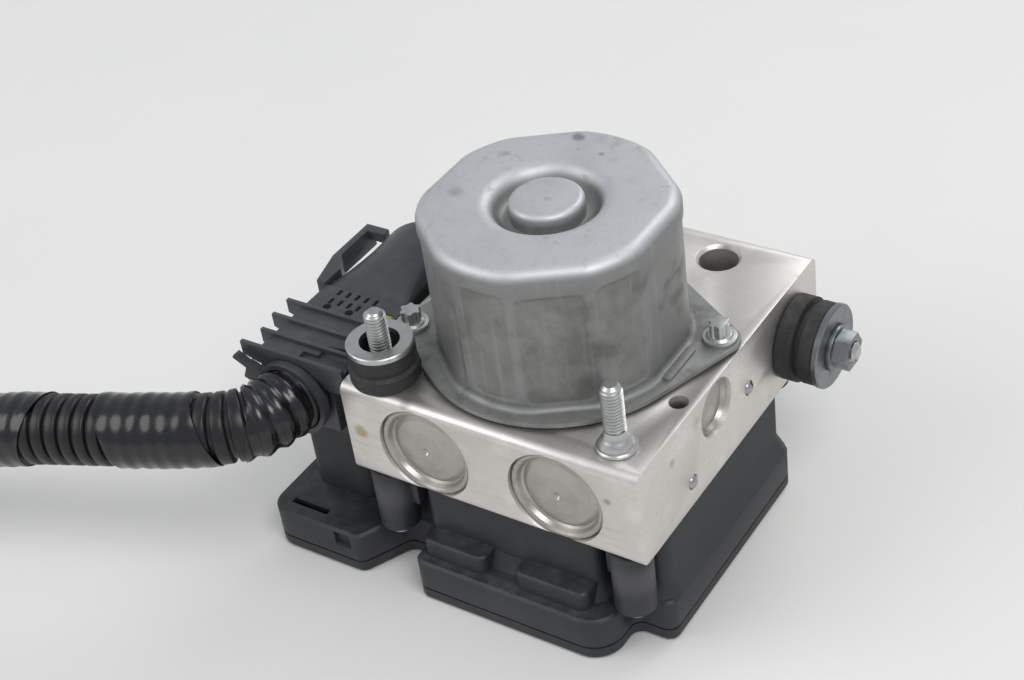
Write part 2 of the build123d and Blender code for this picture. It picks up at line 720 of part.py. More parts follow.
def accumulator_set(x):
    """Cap, piston and spring of one low-pressure accumulator at a place along the front face."""
    inward = (0, 1, 0)
    cap = lathe(
        [
            (0, 2.0), (0.5, 2.0), (1.2, 1.2), (6.0, 1.4), (9.8, 2.2), (11.2, 2.9), (11.8, 2.4),
            (12.4, 1.2), (12.9, 0.8), (13.5, 0.8), (ACC_CAP_R - 0.3, 1.3), (ACC_CAP_R, 2.2),
            (ACC_CAP_R, ACC_CAP_L), (0, ACC_CAP_L),
        ],
        (x, FRONT, ACC_Z), inward, (1, 0, 0),
    )
    piston_r = ACC_BORE_R - FIT
    piston = lathe(
        [
            (0, 3.0), (piston_r - 2.4, 3.0), (piston_r - 2.4, 0), (piston_r, 0), (piston_r, 3.2),
            (piston_r - 0.9, 3.2), (piston_r - 0.9, 5.4), (piston_r, 5.4), (piston_r, ACC_PISTON_L - 0.6),
            (piston_r - 0.6, ACC_PISTON_L), (0, ACC_PISTON_L),
        ],
        (x, PISTON_Y, ACC_Z), inward, (1, 0, 0),
    )
    spring_r = ACC_BORE_R - 3.2
    wire = 1.4
    turns = 6
    pitch = (SPRING_GAP + 3.0 - wire) / turns
    stations = []
    for n in range(turns + 1):
        stations.append((spring_r, n * pitch + wire))
        stations.append((spring_r - 0.5, n * pitch + wire + 0.3))
    outer = [(spring_r, 0)] + stations[:-1]
    inner = [(radius - wire, height) for radius, height in reversed(outer)]
    spring = lathe(outer + inner, (x, CAP_BACK, ACC_Z), inward, (1, 0, 0))
    return cap, piston, spring


right_cap, right_piston, right_acc_spring = accumulator_set(ACC_X)
left_cap, left_piston, left_acc_spring = accumulator_set(-ACC_X)
right_cap.part.label = "accumulator_cap_right"
right_piston.part.label = "accumulator_piston_right"
right_acc_spring.part.label = "accumulator_spring_right"
left_cap.part.label = "accumulator_cap_left"
left_piston.part.label = "accumulator_piston_left"
left_acc_spring.part.label = "accumulator_spring_left"

with BuildPart() as ball_plugs:
    for y, z in BALL_SPOTS:
        with Locations((SIDE - BALL_SINK - 0.2, y, z)):
            Sphere(BALL_R)
ball_plugs.part.label = "ball_plugs"

# ---------------------------------------------------------------- studs, bushings, nut
front_stud = upright(
    [
        (0, -STUD_GRIP), (STUD_FOOT_R, -STUD_GRIP), (STUD_FOOT_R, 0), (FRONT_STUD_FLANGE_R, 0),
        (FRONT_STUD_FLANGE_R, 1.0), (FRONT_STUD_FLANGE_R - 0.5, 1.6), (FRONT_STUD_FLANGE_R - 1.1, 2.0),
        (FRONT_STUD_FLANGE_R - 1.3, 3.2), (STUD_R, FRONT_STUD_NECK), (STUD_R, FRONT_STUD_H - 0.9),
        (STUD_R - 0.9, FRONT_STUD_H), (0, FRONT_STUD_H),
    ],
    FRONT_STUD_X, FRONT_STUD_Y, BLOCK_TOP,
)
front_stud.part.label = "front_stud"

left_stud = upright(
    [
        (0, -STUD_GRIP), (STUD_FOOT_R, -STUD_GRIP), (STUD_FOOT_R, LEFT_STUD_SHANK),
        (STUD_R, LEFT_STUD_SHANK), (STUD_R, LEFT_STUD_H - 0.9),
        (STUD_R - 0.9, LEFT_STUD_H), (0, LEFT_STUD_H),
    ],
    LEFT_STUD_X, LEFT_STUD_Y, BLOCK_TOP,
)
left_stud.part.label = "left_stud"

LEFT_WAIST = LEFT_RUBBER_H * 0.52
left_bushing = upright(
    [
        (STUD_R + FIT, 0), (LEFT_RUBBER_R, 0), (LEFT_RUBBER_R + LEFT_RUBBER_BULGE, 1.0),
        (LEFT_RUBBER_R + LEFT_RUBBER_BULGE, LEFT_WAIST - 1.2),
        (LEFT_RUBBER_R - 0.8, LEFT_WAIST - 0.4), (LEFT_RUBBER_R - 0.8, LEFT_WAIST + 0.6),
        (LEFT_RUBBER_R, LEFT_WAIST + 1.2), (LEFT_RUBBER_R, LEFT_RUBBER_H),
        (LEFT_RING_HOLE_R, LEFT_RUBBER_H),
        (LEFT_RING_HOLE_R, 4.0), (STUD_R + FIT, 4.0),
    ],
    LEFT_STUD_X, LEFT_STUD_Y, BLOCK_TOP,
)
left_bushing.part.label = "left_bushing"

left_ring = upright(
    [
        (LEFT_RING_HOLE_R, 0), (LEFT_RING_R, 0), (LEFT_RING_R, LEFT_RING_T - 0.3),
        (LEFT_RING_R - 0.3, LEFT_RING_T), (LEFT_RING_HOLE_R, LEFT_RING_T),
    ],
    LEFT_STUD_X, LEFT_STUD_Y, BLOCK_TOP + LEFT_RUBBER_H,
)
left_ring.part.label = "left_ring"

OUT = (1, 0, 0)
right_stud = lathe(
    [
        (0, -STUD_GRIP), (STUD_FOOT_R, -STUD_GRIP), (STUD_FOOT_R, 0), (STUD_R, 0),
        (STUD_R, RIGHT_STUD_L - 0.9), (STUD_R - 0.9, RIGHT_STUD_L), (0, RIGHT_STUD_L),
    ],
    (SIDE, RIGHT_STUD_Y, RIGHT_STUD_Z), OUT, (0, 1, 0),
)
right_stud.part.label = "right_stud"

GROOVE_AT = RIGHT_RUBBER_L * 0.52
right_bushing = lathe(
    [
        (STUD_R + FIT, 0), (RIGHT_RUBBER_R - 0.8, 0), (RIGHT_RUBBER_R, 0.8),
        (RIGHT_RUBBER_R, GROOVE_AT - 0.8), (RIGHT_GROOVE_R, GROOVE_AT - 0.3),
        (RIGHT_GROOVE_R, GROOVE_AT + 0.9), (RIGHT_RUBBER_R - 0.4, GROOVE_AT + 1.4),
        (RIGHT_RUBBER_R - 0.4, RIGHT_RUBBER_L - 0.6), (RIGHT_RUBBER_R - 1.0, RIGHT_RUBBER_L),
        (STUD_R + FIT, RIGHT_RUBBER_L),
    ],
    (SIDE, RIGHT_STUD_Y, RIGHT_STUD_Z), OUT, (0, 1, 0),
)
right_bushing.part.label = "right_bushing"

right_washer = lathe(
    [
        (STUD_R + FIT, 0), (RIGHT_WASHER_R, 0), (RIGHT_WASHER_R, RIGHT_WASHER_T - 0.4),
        (RIGHT_WASHER_R - 0.4, RIGHT_WASHER_T), (STUD_R + FIT, RIGHT_WASHER_T),
    ],
    (SIDE + RIGHT_RUBBER_L, RIGHT_STUD_Y, RIGHT_STUD_Z), OUT, (0, 1, 0),
)
right_washer.part.label = "right_washer"

NUT_X = SIDE + RIGHT_RUBBER_L + RIGHT_WASHER_T
with BuildPart() as right_nut:
    nut_face = Plane(origin=(NUT_X, RIGHT_STUD_Y, RIGHT_STUD_Z), x_dir=(0, 1, 0), z_dir=(1, 0, 0))
    with BuildSketch(nut_face):
        Circle(NUT_FLANGE_R)
    extrude(amount=1.4)
    with BuildSketch(nut_face.offset(1.4)):
        RegularPolygon(NUT_AF / 2, 6, major_radius=False)
    extrude(amount=NUT_L - 1.4)
    with BuildSketch(nut_face):
        Circle(STUD_R + FIT)
    extrude(amount=NUT_L, mode=Mode.SUBTRACT)
right_nut.part.label = "right_nut"

# ---------------------------------------------------------------- valves and coils
with BuildPart() as valve_cartridges:
    for x in VALVE_XS:
        for y in VALVE_YS:
            with Locations((x, y, BLOCK_Z + VALVE_BORE - PLAY)):
                Cylinder(VALVE_R, VALVE_BORE - PLAY, align=(Align.CENTER, Align.CENTER, Align.MAX))
            with Locations((x, y, BLOCK_Z)):
                Cylinder(VALVE_STEM_R, VALVE_STEM_L, align=(Align.CENTER, Align.CENTER, Align.MAX))
valve_cartridges.part.label = "valve_cartridges"

COIL_Z = BLOCK_Z - VALVE_STEM_L + 1.0
with BuildPart() as solenoid_coils:
    for x in VALVE_XS:
        for y in VALVE_YS:
            with BuildSketch(Plane.XY.offset(COIL_Z)):
                with Locations((x, y)):
                    Circle(COIL_R)
                    Circle(VALVE_STEM_R + FIT, mode=Mode.SUBTRACT)
            extrude(amount=COIL_L)
solenoid_coils.part.label = "solenoid_coils"

# ---------------------------------------------------------------- controller
with BuildPart() as connector_pins:
    with Locations((SOCKET_MID[0], SOCKET_MID[1], BOARD_Z + BOARD_T)):
        with GridLocations(PIN_PITCH_X, PIN_PITCH_Y, PIN_ROWS, PIN_COLUMNS):
            Box(PIN_T, PIN_T, PIN_TOP - BOARD_Z - BOARD_T, align=(Align.CENTER, Align.CENTER, Align.MIN))
connector_pins.part.label = "connector_pins"

with BuildPart() as ecu_cavity:
    add(rim_outline(RIM_WALL, RIM_Z))
    extrude(amount=RIM_TOP - RIM_WALL - RIM_Z)
    add(upper_outline(UPPER_WALL, RIM_Z))
    extrude(amount=BLOCK_Z - RIM_Z)

with BuildPart() as ecu_housing:
    add(rim_outline(0, RIM_Z))
    extrude(amount=RIM_TOP - RIM_Z)
    rim_edges = ecu_housing.edges().group_by(Axis.Z)[-1]
    chamfer(rim_edges, length=0.8)
    add(upper_outline(0, RIM_TOP - 1))
    extrude(amount=BLOCK_Z - RIM_TOP + 1)
    # sloping shoulder between the rim and the coil housing
    add(upper_outline(-2.6, RIM_TOP - 0.5))
    add(upper_outline(0, RIM_TOP + SHOULDER_H))
    loft()
    # two strengthening pads on the front wall
    for start, end in PAD_XS:
        with BuildPart(mode=Mode.PRIVATE) as pad:
            with BuildSketch(Plane.XY.offset(RIM_TOP - 1)):
                with Locations(((start + end) / 2, UPPER_FRONT + (PAD_ROOT - PAD_REACH) / 2)):
                    RectangleRounded(end - start, PAD_ROOT + PAD_REACH, PAD_CORNER_R)
            extrude(amount=PAD_TOP - RIM_TOP + 1)
            fillet(pad.faces().sort_by(Axis.Z)[-1].edges(), radius=PAD_EDGE_R)
        add(pad.part)
    # screw bosses at the front corners, ears at the back
    for side in (-1, 1):
        with Locations((side * SCREW_X, SCREW_FRONT_Y, BLOCK_Z)):
            Cylinder(SCREW_BOSS_R, SCREW_BOSS_L, align=(Align.CENTER, Align.CENTER, Align.MAX))
        with Locations((side * (SCREW_X - 3), SCREW_FRONT_Y + 5, BLOCK_Z)):
            Box(10, 10, SCREW_BOSS_L - 8, align=(Align.CENTER, Align.CENTER, Align.MAX))
        with Locations((side * SCREW_X, SCREW_BACK_Y, BLOCK_Z)):
            Cylinder(SCREW_BOSS_R, SCREW_EAR_L, align=(Align.CENTER, Align.CENTER, Align.MAX))
        with Locations((side * (SCREW_X - 1.5), SCREW_BACK_Y, BLOCK_Z)):
            Box(12, SCREW_BACK_Y - UPPER_BACK + 1, SCREW_EAR_L, align=(Align.CENTER, Align.MAX, Align.MAX))
    # socket that the harness plug fits over
    with BuildSketch(Plane.XY.offset(RIM_TOP - 1)):
        with Locations(SOCKET_MID):
            RectangleRounded(SOCKET_RIGHT - SOCKET_LEFT, SOCKET_BACK - SOCKET_FRONT, SOCKET_CORNER_R)
    extrude(amount=SOCKET_TOP - RIM_TOP + 1)
    with BuildSketch(Plane.XY.offset(RIM_TOP + SOCKET_FLOOR)):
        with Locations(SOCKET_MID):
            RectangleRounded(
                SOCKET_RIGHT - SOCKET_LEFT - 2 * SOCKET_WALL,
                SOCKET_BACK - SOCKET_FRONT - 2 * SOCKET_WALL,
                SOCKET_CORNER_R - 1,
            )
    extrude(amount=SOCKET_TOP, mode=Mode.SUBTRACT)
    add(ecu_cavity.part, mode=Mode.SUBTRACT)
    with Locations((SOCKET_MID[0], SOCKET_MID[1], RIM_TOP)):
        with GridLocations(PIN_PITCH_X, PIN_PITCH_Y, PIN_ROWS, PIN_COLUMNS):
            Box(PIN_T + 2 * FIT, PIN_T + 2 * FIT, 2 * SOCKET_FLOOR, mode=Mode.SUBTRACT)
    # lip with a groove along the lobe's front edge, square eye in its front face
    with Locations((LOBE_LEFT + 5.8, LOBE_FRONT + 5.2, RIM_TOP)):
        Box(13, 2.0, 2.4, align=(Align.MIN, Align.CENTER, Align.MAX), mode=Mode.SUBTRACT)
    with Locations((LOBE_LEFT + 24.0, LOBE_FRONT, RIM_TOP - 3.4)):
        Box(5.6, 1.4, 5.0, align=(Align.MIN, Align.MIN, Align.CENTER), mode=Mode.SUBTRACT)
    # screw clearance holes
    with Locations(under):
        with Locations(*[(s * SCREW_X, -SCREW_FRONT_Y, SCREW_BOSS_L) for s in (-1, 1)]):
            Hole(radius=SCREW_R + 0.3, depth=SCREW_BOSS_L + 1)
        with Locations(*[(s * SCREW_X, -SCREW_BACK_Y, SCREW_EAR_L) for s in (-1, 1)]):
            Hole(radius=SCREW_R + 0.3, depth=SCREW_EAR_L + 1)
ecu_housing.part.label = "ecu_housing"

with BuildPart() as ecu_cover:
    add(rim_outline(0, 0))
    extrude(amount=COVER_H)
    fillet(ecu_cover.edges().group_by(Axis.Z)[0], radius=COVER_EDGE_R)
    with BuildSketch(Plane.XY.offset(1.6)):
        add(rim_outline(RIM_WALL + 0.4, 0))
    extrude(amount=COVER_H, mode=Mode.SUBTRACT)
ecu_cover.part.label = "ecu_cover"

with BuildPart() as cover_seal:
    add(rim_outline(SEAM_INSET, SEAM_Z))
    add(rim_outline(SEAM_INSET + 1.1, SEAM_Z), mode=Mode.SUBTRACT)
    extrude(amount=SEAM_H)
cover_seal.part.label = "cover_seal"

with BuildPart() as ecu_screws:
    for side in (-1, 1):
        for y, grip in ((SCREW_FRONT_Y, SCREW_BOSS_L), (SCREW_BACK_Y, SCREW_EAR_L)):
            with Locations((side * SCREW_X, y, BLOCK_Z + 8)):
                Cylinder(SCREW_R, grip + 8, align=(Align.CENTER, Align.CENTER, Align.MAX))
            with Locations((side * SCREW_X, y, BLOCK_Z - grip)):
                Cylinder(SCREW_HEAD_R, SCREW_HEAD_H, align=(Align.CENTER, Align.CENTER, Align.MAX))
ecu_screws.part.label = "ecu_screws"

with BuildPart() as circuit_board:
    add(rim_outline(RIM_WALL + 0.5, BOARD_Z))
    extrude(amount=BOARD_T)
circuit_board.part.label = "circuit_board"


# ---------------------------------------------------------------- harness plug
with BuildPart() as plug_body:
    plug_mid = ((PLUG_LEFT + PLUG_RIGHT) / 2, (PLUG_FRONT + PLUG_BACK) / 2)
    with BuildSketch(Plane.XY.offset(PLUG_BOTTOM)):
        with Locations(plug_mid):
            RectangleRounded(PLUG_RIGHT - PLUG_LEFT, PLUG_BACK - PLUG_FRONT, 3.0)
    extrude(amount=PLUG_TOP - PLUG_BOTTOM)
    # pocket that takes the socket
    with BuildSketch(Plane.XY.offset(PLUG_BOTTOM)):
        with Locations(SOCKET_MID):
            RectangleRounded(
                SOCKET_RIGHT - SOCKET_LEFT + 2 * PLAY,
                SOCKET_BACK - SOCKET_FRONT + 2 * PLAY,
                SOCKET_CORNER_R + PLAY,
            )
    extrude(amount=SOCKET_TOP - PLUG_BOTTOM + PLAY, mode=Mode.SUBTRACT)
    # groove for the seal
    with BuildSketch(Plane.XY.offset(SEAL_Z)):
        with Locations(SOCKET_MID):
            RectangleRounded(
                SOCKET_RIGHT - SOCKET_LEFT + 2 * SEAL_T,
                SOCKET_BACK - SOCKET_FRONT + 2 * SEAL_T,
                SOCKET_CORNER_R + SEAL_T,
            )
    extrude(amount=SEAL_H, mode=Mode.SUBTRACT)
    # core with the contact chambers, down inside the socket
    with BuildSketch(Plane.XY.offset(CORE_BOTTOM)):
        with Locations(SOCKET_MID):
            RectangleRounded(
                SOCKET_RIGHT - SOCKET_LEFT - 2 * (SOCKET_WALL + PLAY),
                SOCKET_BACK - SOCKET_FRONT - 2 * (SOCKET_WALL + PLAY),
                SOCKET_CORNER_R - 1,
            )
    extrude(amount=SOCKET_TOP + PLAY + 1 - CORE_BOTTOM)
    with Locations((SOCKET_MID[0], SOCKET_MID[1], CORE_BOTTOM)):
        with GridLocations(PIN_PITCH_X, PIN_PITCH_Y, PIN_ROWS, PIN_COLUMNS):
            Box(
                PIN_T + 2 * PLAY,
                PIN_T + 2 * PLAY,
                PIN_TOP - CORE_BOTTOM + 1,
                align=(Align.CENTER, Align.CENTER, Align.MIN),
                mode=Mode.SUBTRACT,
            )
plug_body.part.label = "plug_body"

with BuildPart() as plug_seal:
    with BuildSketch(Plane.XY.offset(SEAL_Z + SEAT)):
        with Locations(SOCKET_MID):
            RectangleRounded(
                SOCKET_RIGHT - SOCKET_LEFT + 2 * (SEAL_T - SEAT),
                SOCKET_BACK - SOCKET_FRONT + 2 * (SEAL_T - SEAT),
                SOCKET_CORNER_R + SEAL_T - SEAT,
            )
            RectangleRounded(
                SOCKET_RIGHT - SOCKET_LEFT + 2 * SEAT,
                SOCKET_BACK - SOCKET_FRONT + 2 * SEAT,
                SOCKET_CORNER_R + SEAT,
                mode=Mode.SUBTRACT,
            )
    extrude(amount=SEAL_H - 2 * SEAT)
plug_seal.part.label = "plug_seal"


def hood_section(y, left, shoulder, top, corner):
    """One arched cross-section of the hood, in an upright plane at a depth."""
    crown = (PLUG_RIGHT - corner, top)
    plane = Plane(origin=(0, y, 0), x_dir=(1, 0, 0), z_dir=(0, -1, 0))
    with BuildSketch(plane) as section:
        with BuildLine():
            TangentArc(crown, (left, shoulder), tangent=(-1, 0))
            TangentArc(crown, (PLUG_RIGHT, top - corner), tangent=(1, 0))
            Polyline((left, shoulder), (left, PLUG_TOP), (PLUG_RIGHT, PLUG_TOP), (PLUG_RIGHT, top - corner))
        make_face()
    return section.sketch


with BuildPart() as wire_cover:
    # flat deck over the plug
    with BuildSketch(Plane.XY.offset(PLUG_TOP)):
        with Locations(((PLUG_LEFT + PLUG_RIGHT) / 2, (RIB_YS[-1] + DOME_FRONT) / 2)):
            Rectangle(PLUG_RIGHT - PLUG_LEFT, DOME_FRONT - RIB_YS[-1])
    extrude(amount=DECK_Z - PLUG_TOP)
    # hood that rises from the deck to the back
    loft(
        sections=[
            hood_section(DOME_FRONT, PLUG_LEFT, DOME_SHOULDER, DECK_Z, 1.5),
            hood_section(DOME_MID, PLUG_LEFT + 1.6, DOME_SHOULDER, DOME_MID_TOP, 4.0),
            hood_section(DOME_BACK, PLUG_LEFT + 2.6, DOME_SHOULDER, DOME_TOP, 6.0),
        ]
    )
    hood_end = wire_cover.faces().sort_by(Axis.Y)[-1]
    fillet(hood_end.edges().filter_by(lambda e: (e @ 0.5).Z > PLUG_TOP + 1), radius=2.0)
    # transverse ribs of the wire outlet
    for y, left in zip(RIB_YS, RIB_LEFTS):
        rib_plane = Plane(origin=(0, y + RIB_T / 2, 0), x_dir=(1, 0, 0), z_dir=(0, -1, 0))
        with BuildSketch(rib_plane) as rib:
            with BuildLine():
                Polyline(
                    (left, DECK_Z + RIB_RISE), (RIB_RIGHT, DECK_Z + RIB_RISE), (RIB_RIGHT, RIB_BOTTOM + 3),
                    (PLUG_RIGHT, RIB_BOTTOM), (PLUG_LEFT, RIB_BOTTOM), (left, DECK_Z - 3), close=True,
                )
            make_face()
        extrude(amount=RIB_T)
    # outlet collar that the conduit is strapped into
    with Locations((CONDUIT_START[0], PLUG_FRONT, PLUG_TOP)):
        Box(
            2 * COLLAR_R, PLUG_FRONT - COLLAR_FRONT, PLUG_TOP - COLLAR_BOTTOM,
            align=(Align.CENTER, Align.MAX, Align.MAX),
        )
    with Locations(Plane(origin=CONDUIT_START, z_dir=(0, -1, 0))):
        Cylinder(
            CONDUIT_R + SEAT, CONDUIT_START[1] - COLLAR_FRONT + 5,
            align=(Align.CENTER, Align.CENTER, Align.MIN), mode=Mode.SUBTRACT,
        )
    # contact chambers' inspection slots and two tool holes
    with Locations((SLOT_MID[0], SLOT_MID[1], DECK_Z)):
        with GridLocations(SLOT_PITCH, SLOT_ROW, SLOT_COLUMNS, 2):
            Box(SLOT_W, SLOT_L, 2 * SLOT_DEPTH, mode=Mode.SUBTRACT)
    with Locations(*[(x, TOOL_HOLE_Y, DECK_Z) for x in TOOL_HOLE_XS]):
        Hole(radius=TOOL_HOLE_R, depth=SLOT_DEPTH * 2)
    # stepped recess beside the conduit
    with BuildSketch(Plane.XY.offset(DECK_Z - STEP_DEPTH)):
        with BuildLine():
            Polyline(
                (STEP_LEFT, RIB_YS[3] + RIB_T), (PLUG_RIGHT + 1, RIB_YS[3] + RIB_T),
                (PLUG_RIGHT + 1, RIB_YS[2] + 4), (STEP_LEFT + 5, RIB_YS[2] + 2),
                (STEP_LEFT + 5, RIB_YS[3] + 4.5), (STEP_LEFT, RIB_YS[3] + 4.5),
                close=True,
            )
        make_face()
    extrude(amount=STEP_DEPTH, mode=Mode.SUBTRACT)
    # trunnion that the lever turns on
    with Locations(Plane(origin=(PLUG_LEFT + TRUNNION_ROOT, LEVER_HUB_Y, LEVER_HUB_Z), z_dir=(-1, 0, 0))):
        Cylinder(
            LEVER_PIN_R, TRUNNION_ROOT + LEVER_GAP + LEVER_T + 0.6,
            align=(Align.CENTER, Align.CENTER, Align.MIN),
        )
    # pocket of the terminal lock
    with Locations((LOCK_X, LOCK_Y, DECK_Z)):
        Box(LOCK_W + 2 * SEAT, LOCK_L + 2 * SEAT, 2 * LOCK_H, mode=Mode.SUBTRACT)
wire_cover.part.label = "wire_cover"

with BuildPart() as terminal_lock:
    with Locations((LOCK_X, LOCK_Y, DECK_Z - LOCK_H + SEAT)):
        Box(LOCK_W, LOCK_L, LOCK_H - SEAT, align=(Align.CENTER, Align.CENTER, Align.MIN))
    chamfer(terminal_lock.edges().group_by(Axis.Z)[-1], length=0.4)
terminal_lock.part.label = "terminal_lock"

# hooked lever beside the plug, turning on its trunnion
LEVER_INNER = PLUG_LEFT - LEVER_GAP
with BuildPart() as lock_lever:
    with BuildSketch(Plane.XY.offset(LEVER_TOP - LEVER_DEPTH)):
        with BuildLine():
            Polyline(
                (LEVER_INNER, LEVER_HUB_Y - LEVER_HUB_R), (LEVER_INNER, LEVER_HUB_Y + LEVER_HUB_R),
                (LEVER_LEFT + LEVER_ARM, LEVER_HUB_Y + 9.6), (LEVER_LEFT + LEVER_ARM, LEVER_BACK),
                (LEVER_LEFT, LEVER_BACK), (LEVER_LEFT, LEVER_HUB_Y + 8.4),
                (LEVER_INNER - LEVER_T, LEVER_HUB_Y - LEVER_HUB_R), close=True,
            )
        make_face()
    extrude(amount=LEVER_DEPTH)
    # cross bar that is pulled to swing the lever
    with Locations((LEVER_LEFT, LEVER_BACK, LEVER_TOP)):
        Box(LEVER_BAR_L, LEVER_T, LEVER_BAR_H, align=(Align.MIN, Align.MAX, Align.MAX))
    with Locations(Plane(origin=(LEVER_INNER, LEVER_HUB_Y, LEVER_HUB_Z), z_dir=(-1, 0, 0))):
        Cylinder(LEVER_HUB_R, LEVER_T, align=(Align.CENTER, Align.CENTER, Align.MIN))
        Cylinder(
            LEVER_PIN_R + FIT, 2 * LEVER_T,
            align=(Align.CENTER, Align.CENTER, Align.MIN), mode=Mode.SUBTRACT,
        )
lock_lever.part.label = "lock_lever"

# ---------------------------------------------------------------- harness conduit
CONDUIT_POINTS = [
    CONDUIT_START,
    (-65.5, -57.6, 56.5),
    (-73.4, -68.6, 56.2),
    (-96.2, -77.8, 54.6),
    (-140.6, -92.4, 51.6),
    (-184.0, -105.0, 41.0),
    (-229.0, -123.0, 22.0),
    (-276.0, -133.0, 10.4),
]
runs = [(Vector(*b) - Vector(*a)) for a, b in zip(CONDUIT_POINTS, CONDUIT_POINTS[1:])]
bend_radii = []
for before, after in zip(runs, runs[1:]):
    turn = before.get_angle(after)
    half_tangent = Vector(1, 0, 0).rotate(Axis.Z, turn / 2)
    bend_radii.append(0.45 * min(before.length, after.length) * half_tangent.X / half_tangent.Y)
print("conduit bend radii", [round(radius, 1) for radius in bend_radii])
with BuildPart() as conduit:
    with BuildLine() as route:
        FilletPolyline(*CONDUIT_POINTS, radius=bend_radii)
    with BuildSketch(Plane(origin=CONDUIT_START, z_dir=route.line % 0)):
        Circle(CONDUIT_R)
    sweep(path=route.line)
print("conduit length", round(sum(edge.length for edge in route.edges()), 1))
conduit.part.label = "conduit"

# cut ends of the wires, standing out of the conduit
conduit_end = Plane(origin=route.line @ 1, z_dir=route.line % 1)
with BuildPart() as wire_ends:
    with BuildSketch(conduit_end):
        Circle(WIRE_R)
        with PolarLocations(2 * WIRE_R + 0.2, 6):
            Circle(WIRE_R)
    extrude(amount=WIRE_STUB)
wire_ends.part.label = "wire_ends"

# strap that holds the conduit in its collar
with BuildPart() as zip_tie:
    tie_centre = (CONDUIT_START[0], TIE_Y + TIE_W / 2, CONDUIT_START[2])
    tie_plane = Plane(origin=tie_centre, x_dir=(1, 0, 0), z_dir=(0, -1, 0))
    with BuildSketch(tie_plane):
        Circle(CONDUIT_R + FIT + TIE_T)
        Circle(CONDUIT_R + FIT, mode=Mode.SUBTRACT)
    extrude(amount=TIE_W)
    with BuildSketch(tie_plane):
        with PolarLocations(CONDUIT_R + TIE_T + 2.0, 1, start_angle=TIE_ANGLE):
            Rectangle(4.4, 5.6)
    extrude(amount=TIE_W)
    with BuildSketch(tie_plane):
        with PolarLocations(CONDUIT_R + TIE_T + 6.4, 1, start_angle=TIE_ANGLE - 6):
            Rectangle(5.4, 1.2)
    extrude(amount=TIE_W)
zip_tie.part.label = "zip_tie"

# ---------------------------------------------------------------- export
PIECES = (
    hydraulic_block, motor_can, motor_gasket, motor_screws, motor_magnets, brush_plate, motor_brushes,
    rotor_shaft, eccentric_bearing, armature, commutator, shaft_bearing, bearing_bush,
    right_plug, right_plunger, right_spring, left_plug, left_plunger, left_spring,
    right_cap, right_piston, right_acc_spring, left_cap, left_piston, left_acc_spring, ball_plugs,
    front_stud, left_stud, left_bushing, left_ring, right_stud, right_bushing, right_washer, right_nut,
    valve_cartridges, solenoid_coils, ecu_housing, ecu_cover, cover_seal, ecu_screws, circuit_board,
    connector_pins, plug_body, plug_seal, wire_cover, terminal_lock, lock_lever, conduit, wire_ends, zip_tie,
)
os.makedirs("parts", exist_ok=True)
for piece in PIECES:
    export_step(piece.part, "parts/" + piece.part.label + ".step")
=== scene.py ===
"""Looks of an anti-lock brake unit: valve block, pump motor, controller, plug and a stub of its harness.

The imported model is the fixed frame. Every piece made here is in metres, in the frame of that model, and
carries its place in its mesh. Sizes in millimetres are turned into metres by MM.
"""

from __future__ import annotations

import bisect
import json
import logging
import math
from dataclasses import dataclass, field
from enum import Enum
from operator import itemgetter

import bpy
from mathutils import Euler, Matrix, Quaternion, Vector, noise

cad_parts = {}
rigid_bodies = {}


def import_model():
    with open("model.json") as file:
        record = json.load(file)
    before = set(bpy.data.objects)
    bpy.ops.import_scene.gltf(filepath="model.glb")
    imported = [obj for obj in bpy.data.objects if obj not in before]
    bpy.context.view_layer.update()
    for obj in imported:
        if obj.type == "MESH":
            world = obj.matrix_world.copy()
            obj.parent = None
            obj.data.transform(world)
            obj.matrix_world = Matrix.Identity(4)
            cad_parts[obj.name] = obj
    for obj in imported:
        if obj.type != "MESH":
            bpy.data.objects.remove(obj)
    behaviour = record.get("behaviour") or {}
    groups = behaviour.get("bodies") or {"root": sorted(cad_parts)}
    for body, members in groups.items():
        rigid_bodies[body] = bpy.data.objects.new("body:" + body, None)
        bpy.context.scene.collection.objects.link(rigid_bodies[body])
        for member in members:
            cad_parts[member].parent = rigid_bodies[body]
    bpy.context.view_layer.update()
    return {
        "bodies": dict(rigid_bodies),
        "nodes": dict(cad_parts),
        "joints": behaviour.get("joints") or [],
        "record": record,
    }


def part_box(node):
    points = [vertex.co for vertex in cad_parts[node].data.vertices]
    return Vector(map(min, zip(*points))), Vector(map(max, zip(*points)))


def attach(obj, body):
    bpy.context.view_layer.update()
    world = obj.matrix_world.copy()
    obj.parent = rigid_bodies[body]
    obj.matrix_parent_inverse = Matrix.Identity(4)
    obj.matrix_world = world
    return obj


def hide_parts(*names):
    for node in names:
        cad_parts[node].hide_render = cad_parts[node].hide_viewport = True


MM = 0.001
LOG = logging.getLogger("brake_unit")
Colour = tuple[float, float, float]
Point = tuple[float, float, float]
Profile = list[tuple[float, float]]
CAN_RADIUS = 34.0
CAN_AXIS_Y = -9.3
PANEL_CORNER = 4.0
# Cloud levels that break up the darker colour painted inside the can's pressed panels.
PANEL_CLOUDS = {"Scale": 75.0, "Low": 0.34, "High": 0.58}


class Axis(Enum):
    """Direction that a turned piece's length runs in."""

    UP = Quaternion((1, 0, 0, 0))
    RIGHT = Vector((0, 0, 1)).rotation_difference(Vector((1, 0, 0)))


class Body(Enum):
    """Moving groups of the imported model."""

    BASE = "base"
    LEVER = "lever"


